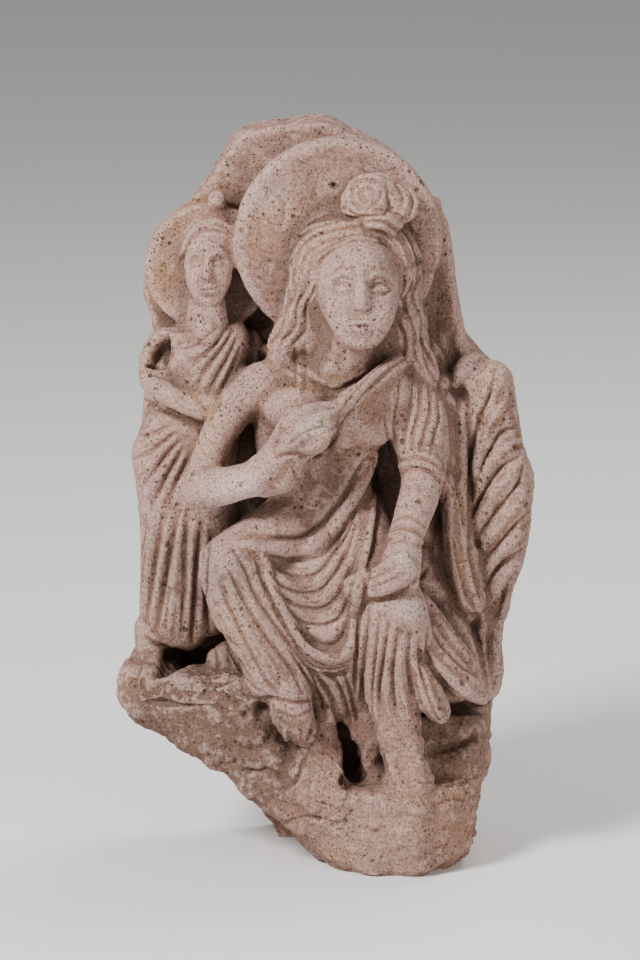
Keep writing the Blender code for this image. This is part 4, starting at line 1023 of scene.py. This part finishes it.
# Sand grains: light and dark ones all over, and a few very dark.
contrast = add(nodes, "ShaderNodeMath", {"operation": "MULTIPLY_ADD", 1: 1.7, 2: -0.38},
               i0=noises["sand"]).outputs[0]
grey = add(nodes, "ShaderNodeCombineColor", i0=contrast, i1=contrast, i2=contrast).outputs[0]
colour = add(
    nodes, "ShaderNodeMix", {"data_type": "RGBA", "blend_type": "OVERLAY", 0: 0.75}, i6=colour, i7=grey
).outputs[2]
settings = {"interpolation_type": "SMOOTHSTEP", "From Min": 0.44, "From Max": 0.3, "To Max": 0.5}
share = add(nodes, "ShaderNodeMapRange", settings, Value=noises["dark_sand"]).outputs["Result"]
colour = add(nodes, "ShaderNodeMix", {"data_type": "RGBA", 7: linear("4F392C")}, i0=share,
             i6=colour).outputs[2]

# Pores: real ones lie 2 to 9 mm apart and are 0.5 to 3 mm wide. Each size is a Voronoi pattern with
# that spacing, in which chance closes most cells and varies the rest.
drift = add(nodes, "ShaderNodeTexNoise", {"Scale": 0.5 / (1.2 * MM), "Detail": 2.0},
            Vector=place).outputs["Color"]
uneven = add(
    nodes, "ShaderNodeVectorMath", {"operation": "MULTIPLY_ADD", 1: (1.2 * MM,) * 3}, i0=drift, i2=place
).outputs[0]
settings = {"interpolation_type": "SMOOTHSTEP", "From Min": 0.42, "From Max": 0.62, "To Min": 0.3}
depth = add(nodes, "ShaderNodeMapRange", settings, Value=noises["bed"]).outputs["Result"]
pore = None
for spacing, wide in ((1.7, 0.29), (3.6, 0.25), (9, 0.17)):
    cell = add(nodes, "ShaderNodeTexVoronoi", {"Scale": 1 / (spacing * MM), "Randomness": 1.0},
               Vector=uneven)
    chance = add(nodes, "ShaderNodeSeparateColor", i0=cell.outputs["Color"]).outputs[0]
    settings = {"operation": "MULTIPLY_ADD", 1: 0.34}
    apart = add(nodes, "ShaderNodeMath", settings, i0=chance, i2=cell.outputs["Distance"]).outputs[0]
    settings = {"interpolation_type": "SMOOTHSTEP", "From Min": wide * 1.25, "From Max": wide * 0.75}
    pit = add(nodes, "ShaderNodeMapRange", settings, Value=apart).outputs["Result"]
    pore = pit if pore is None else add(nodes, "ShaderNodeMath", {"operation": "MAXIMUM"}, i0=pore,
                                        i1=pit).outputs[0]
pore = add(nodes, "ShaderNodeMath", {"operation": "MULTIPLY"}, i0=pore, i1=depth).outputs[0]
share = add(nodes, "ShaderNodeMath", {"operation": "MULTIPLY", 1: 0.8}, i0=pore).outputs[0]
colour = add(nodes, "ShaderNodeMix", {"data_type": "RGBA", 7: linear("3A281E")}, i0=share,
             i6=colour).outputs[2]
nodes.links.new(colour, shader.inputs["Base Color"])
gritty = add(
    nodes, "ShaderNodeBump", {"Strength": 0.5, "Distance": 0.6 * MM}, Height=noises["raised_sand"]
).outputs["Normal"]
pitted = add(
    nodes, "ShaderNodeBump", {"Strength": 1.0, "Distance": 1.2 * MM, "invert": True}, Height=pore,
    Normal=gritty
).outputs["Normal"]
nodes.links.new(pitted, shader.inputs["Normal"])
relief_mesh.materials.clear()
relief_mesh.materials.append(stucco)

# The floor: matt pale paper, in soft studio light from the upper left.
paper = bpy.data.materials.new("pale_paper")
paper.use_nodes = True
paper.node_tree.nodes["Principled BSDF"].inputs["Base Color"].default_value = linear("F2F1EF")
paper.node_tree.nodes["Principled BSDF"].inputs["Roughness"].default_value = 0.9
floor = bpy.data.meshes.new("floor")
sheet = bmesh.new()
bmesh.ops.create_grid(sheet, x_segments=1, y_segments=1, size=6)
sheet.to_mesh(floor)
sheet.free()
floor.materials.append(paper)
ground = bpy.data.objects.new("floor", floor)
bpy.context.scene.collection.objects.link(ground)

for name, power, size, spot in (("key", 46, 0.4, (-1.0, -1.0, 1.25)), ("fill", 14, 1.2, (1.4, -1.4, 0.7)),
                                ("rim", 14, 0.8, (0.5, 0.7, 1.5))):
    light = bpy.data.lights.new(name, "AREA")
    light.energy = power
    light.size = size
    lamp = bpy.data.objects.new(name, light)
    lamp.location = spot
    lamp.rotation_euler = (Vector((0, 0, 0.18)) - lamp.location).to_track_quat("-Z", "Y").to_euler()
    bpy.context.scene.collection.objects.link(lamp)
world = bpy.data.worlds.new("studio")
world.use_nodes = True
world.node_tree.nodes["Background"].inputs["Color"].default_value = (1, 1, 1, 1)
world.node_tree.nodes["Background"].inputs["Strength"].default_value = 0.29
bpy.context.scene.world = world

# The camera: level with the photograph's, 12 degrees above the horizon, 3 m away.
CAMERA_DISTANCE = 3
camera = bpy.data.cameras.new("camera")
camera.lens = 225
eye = bpy.data.objects.new("camera", camera)
eye.location = at(-5, 196.5, 0) - AHEAD * CAMERA_DISTANCE
eye.rotation_euler = AHEAD.to_track_quat("-Z", "Y").to_euler()
bpy.context.scene.collection.objects.link(eye)
bpy.context.scene.camera = eye
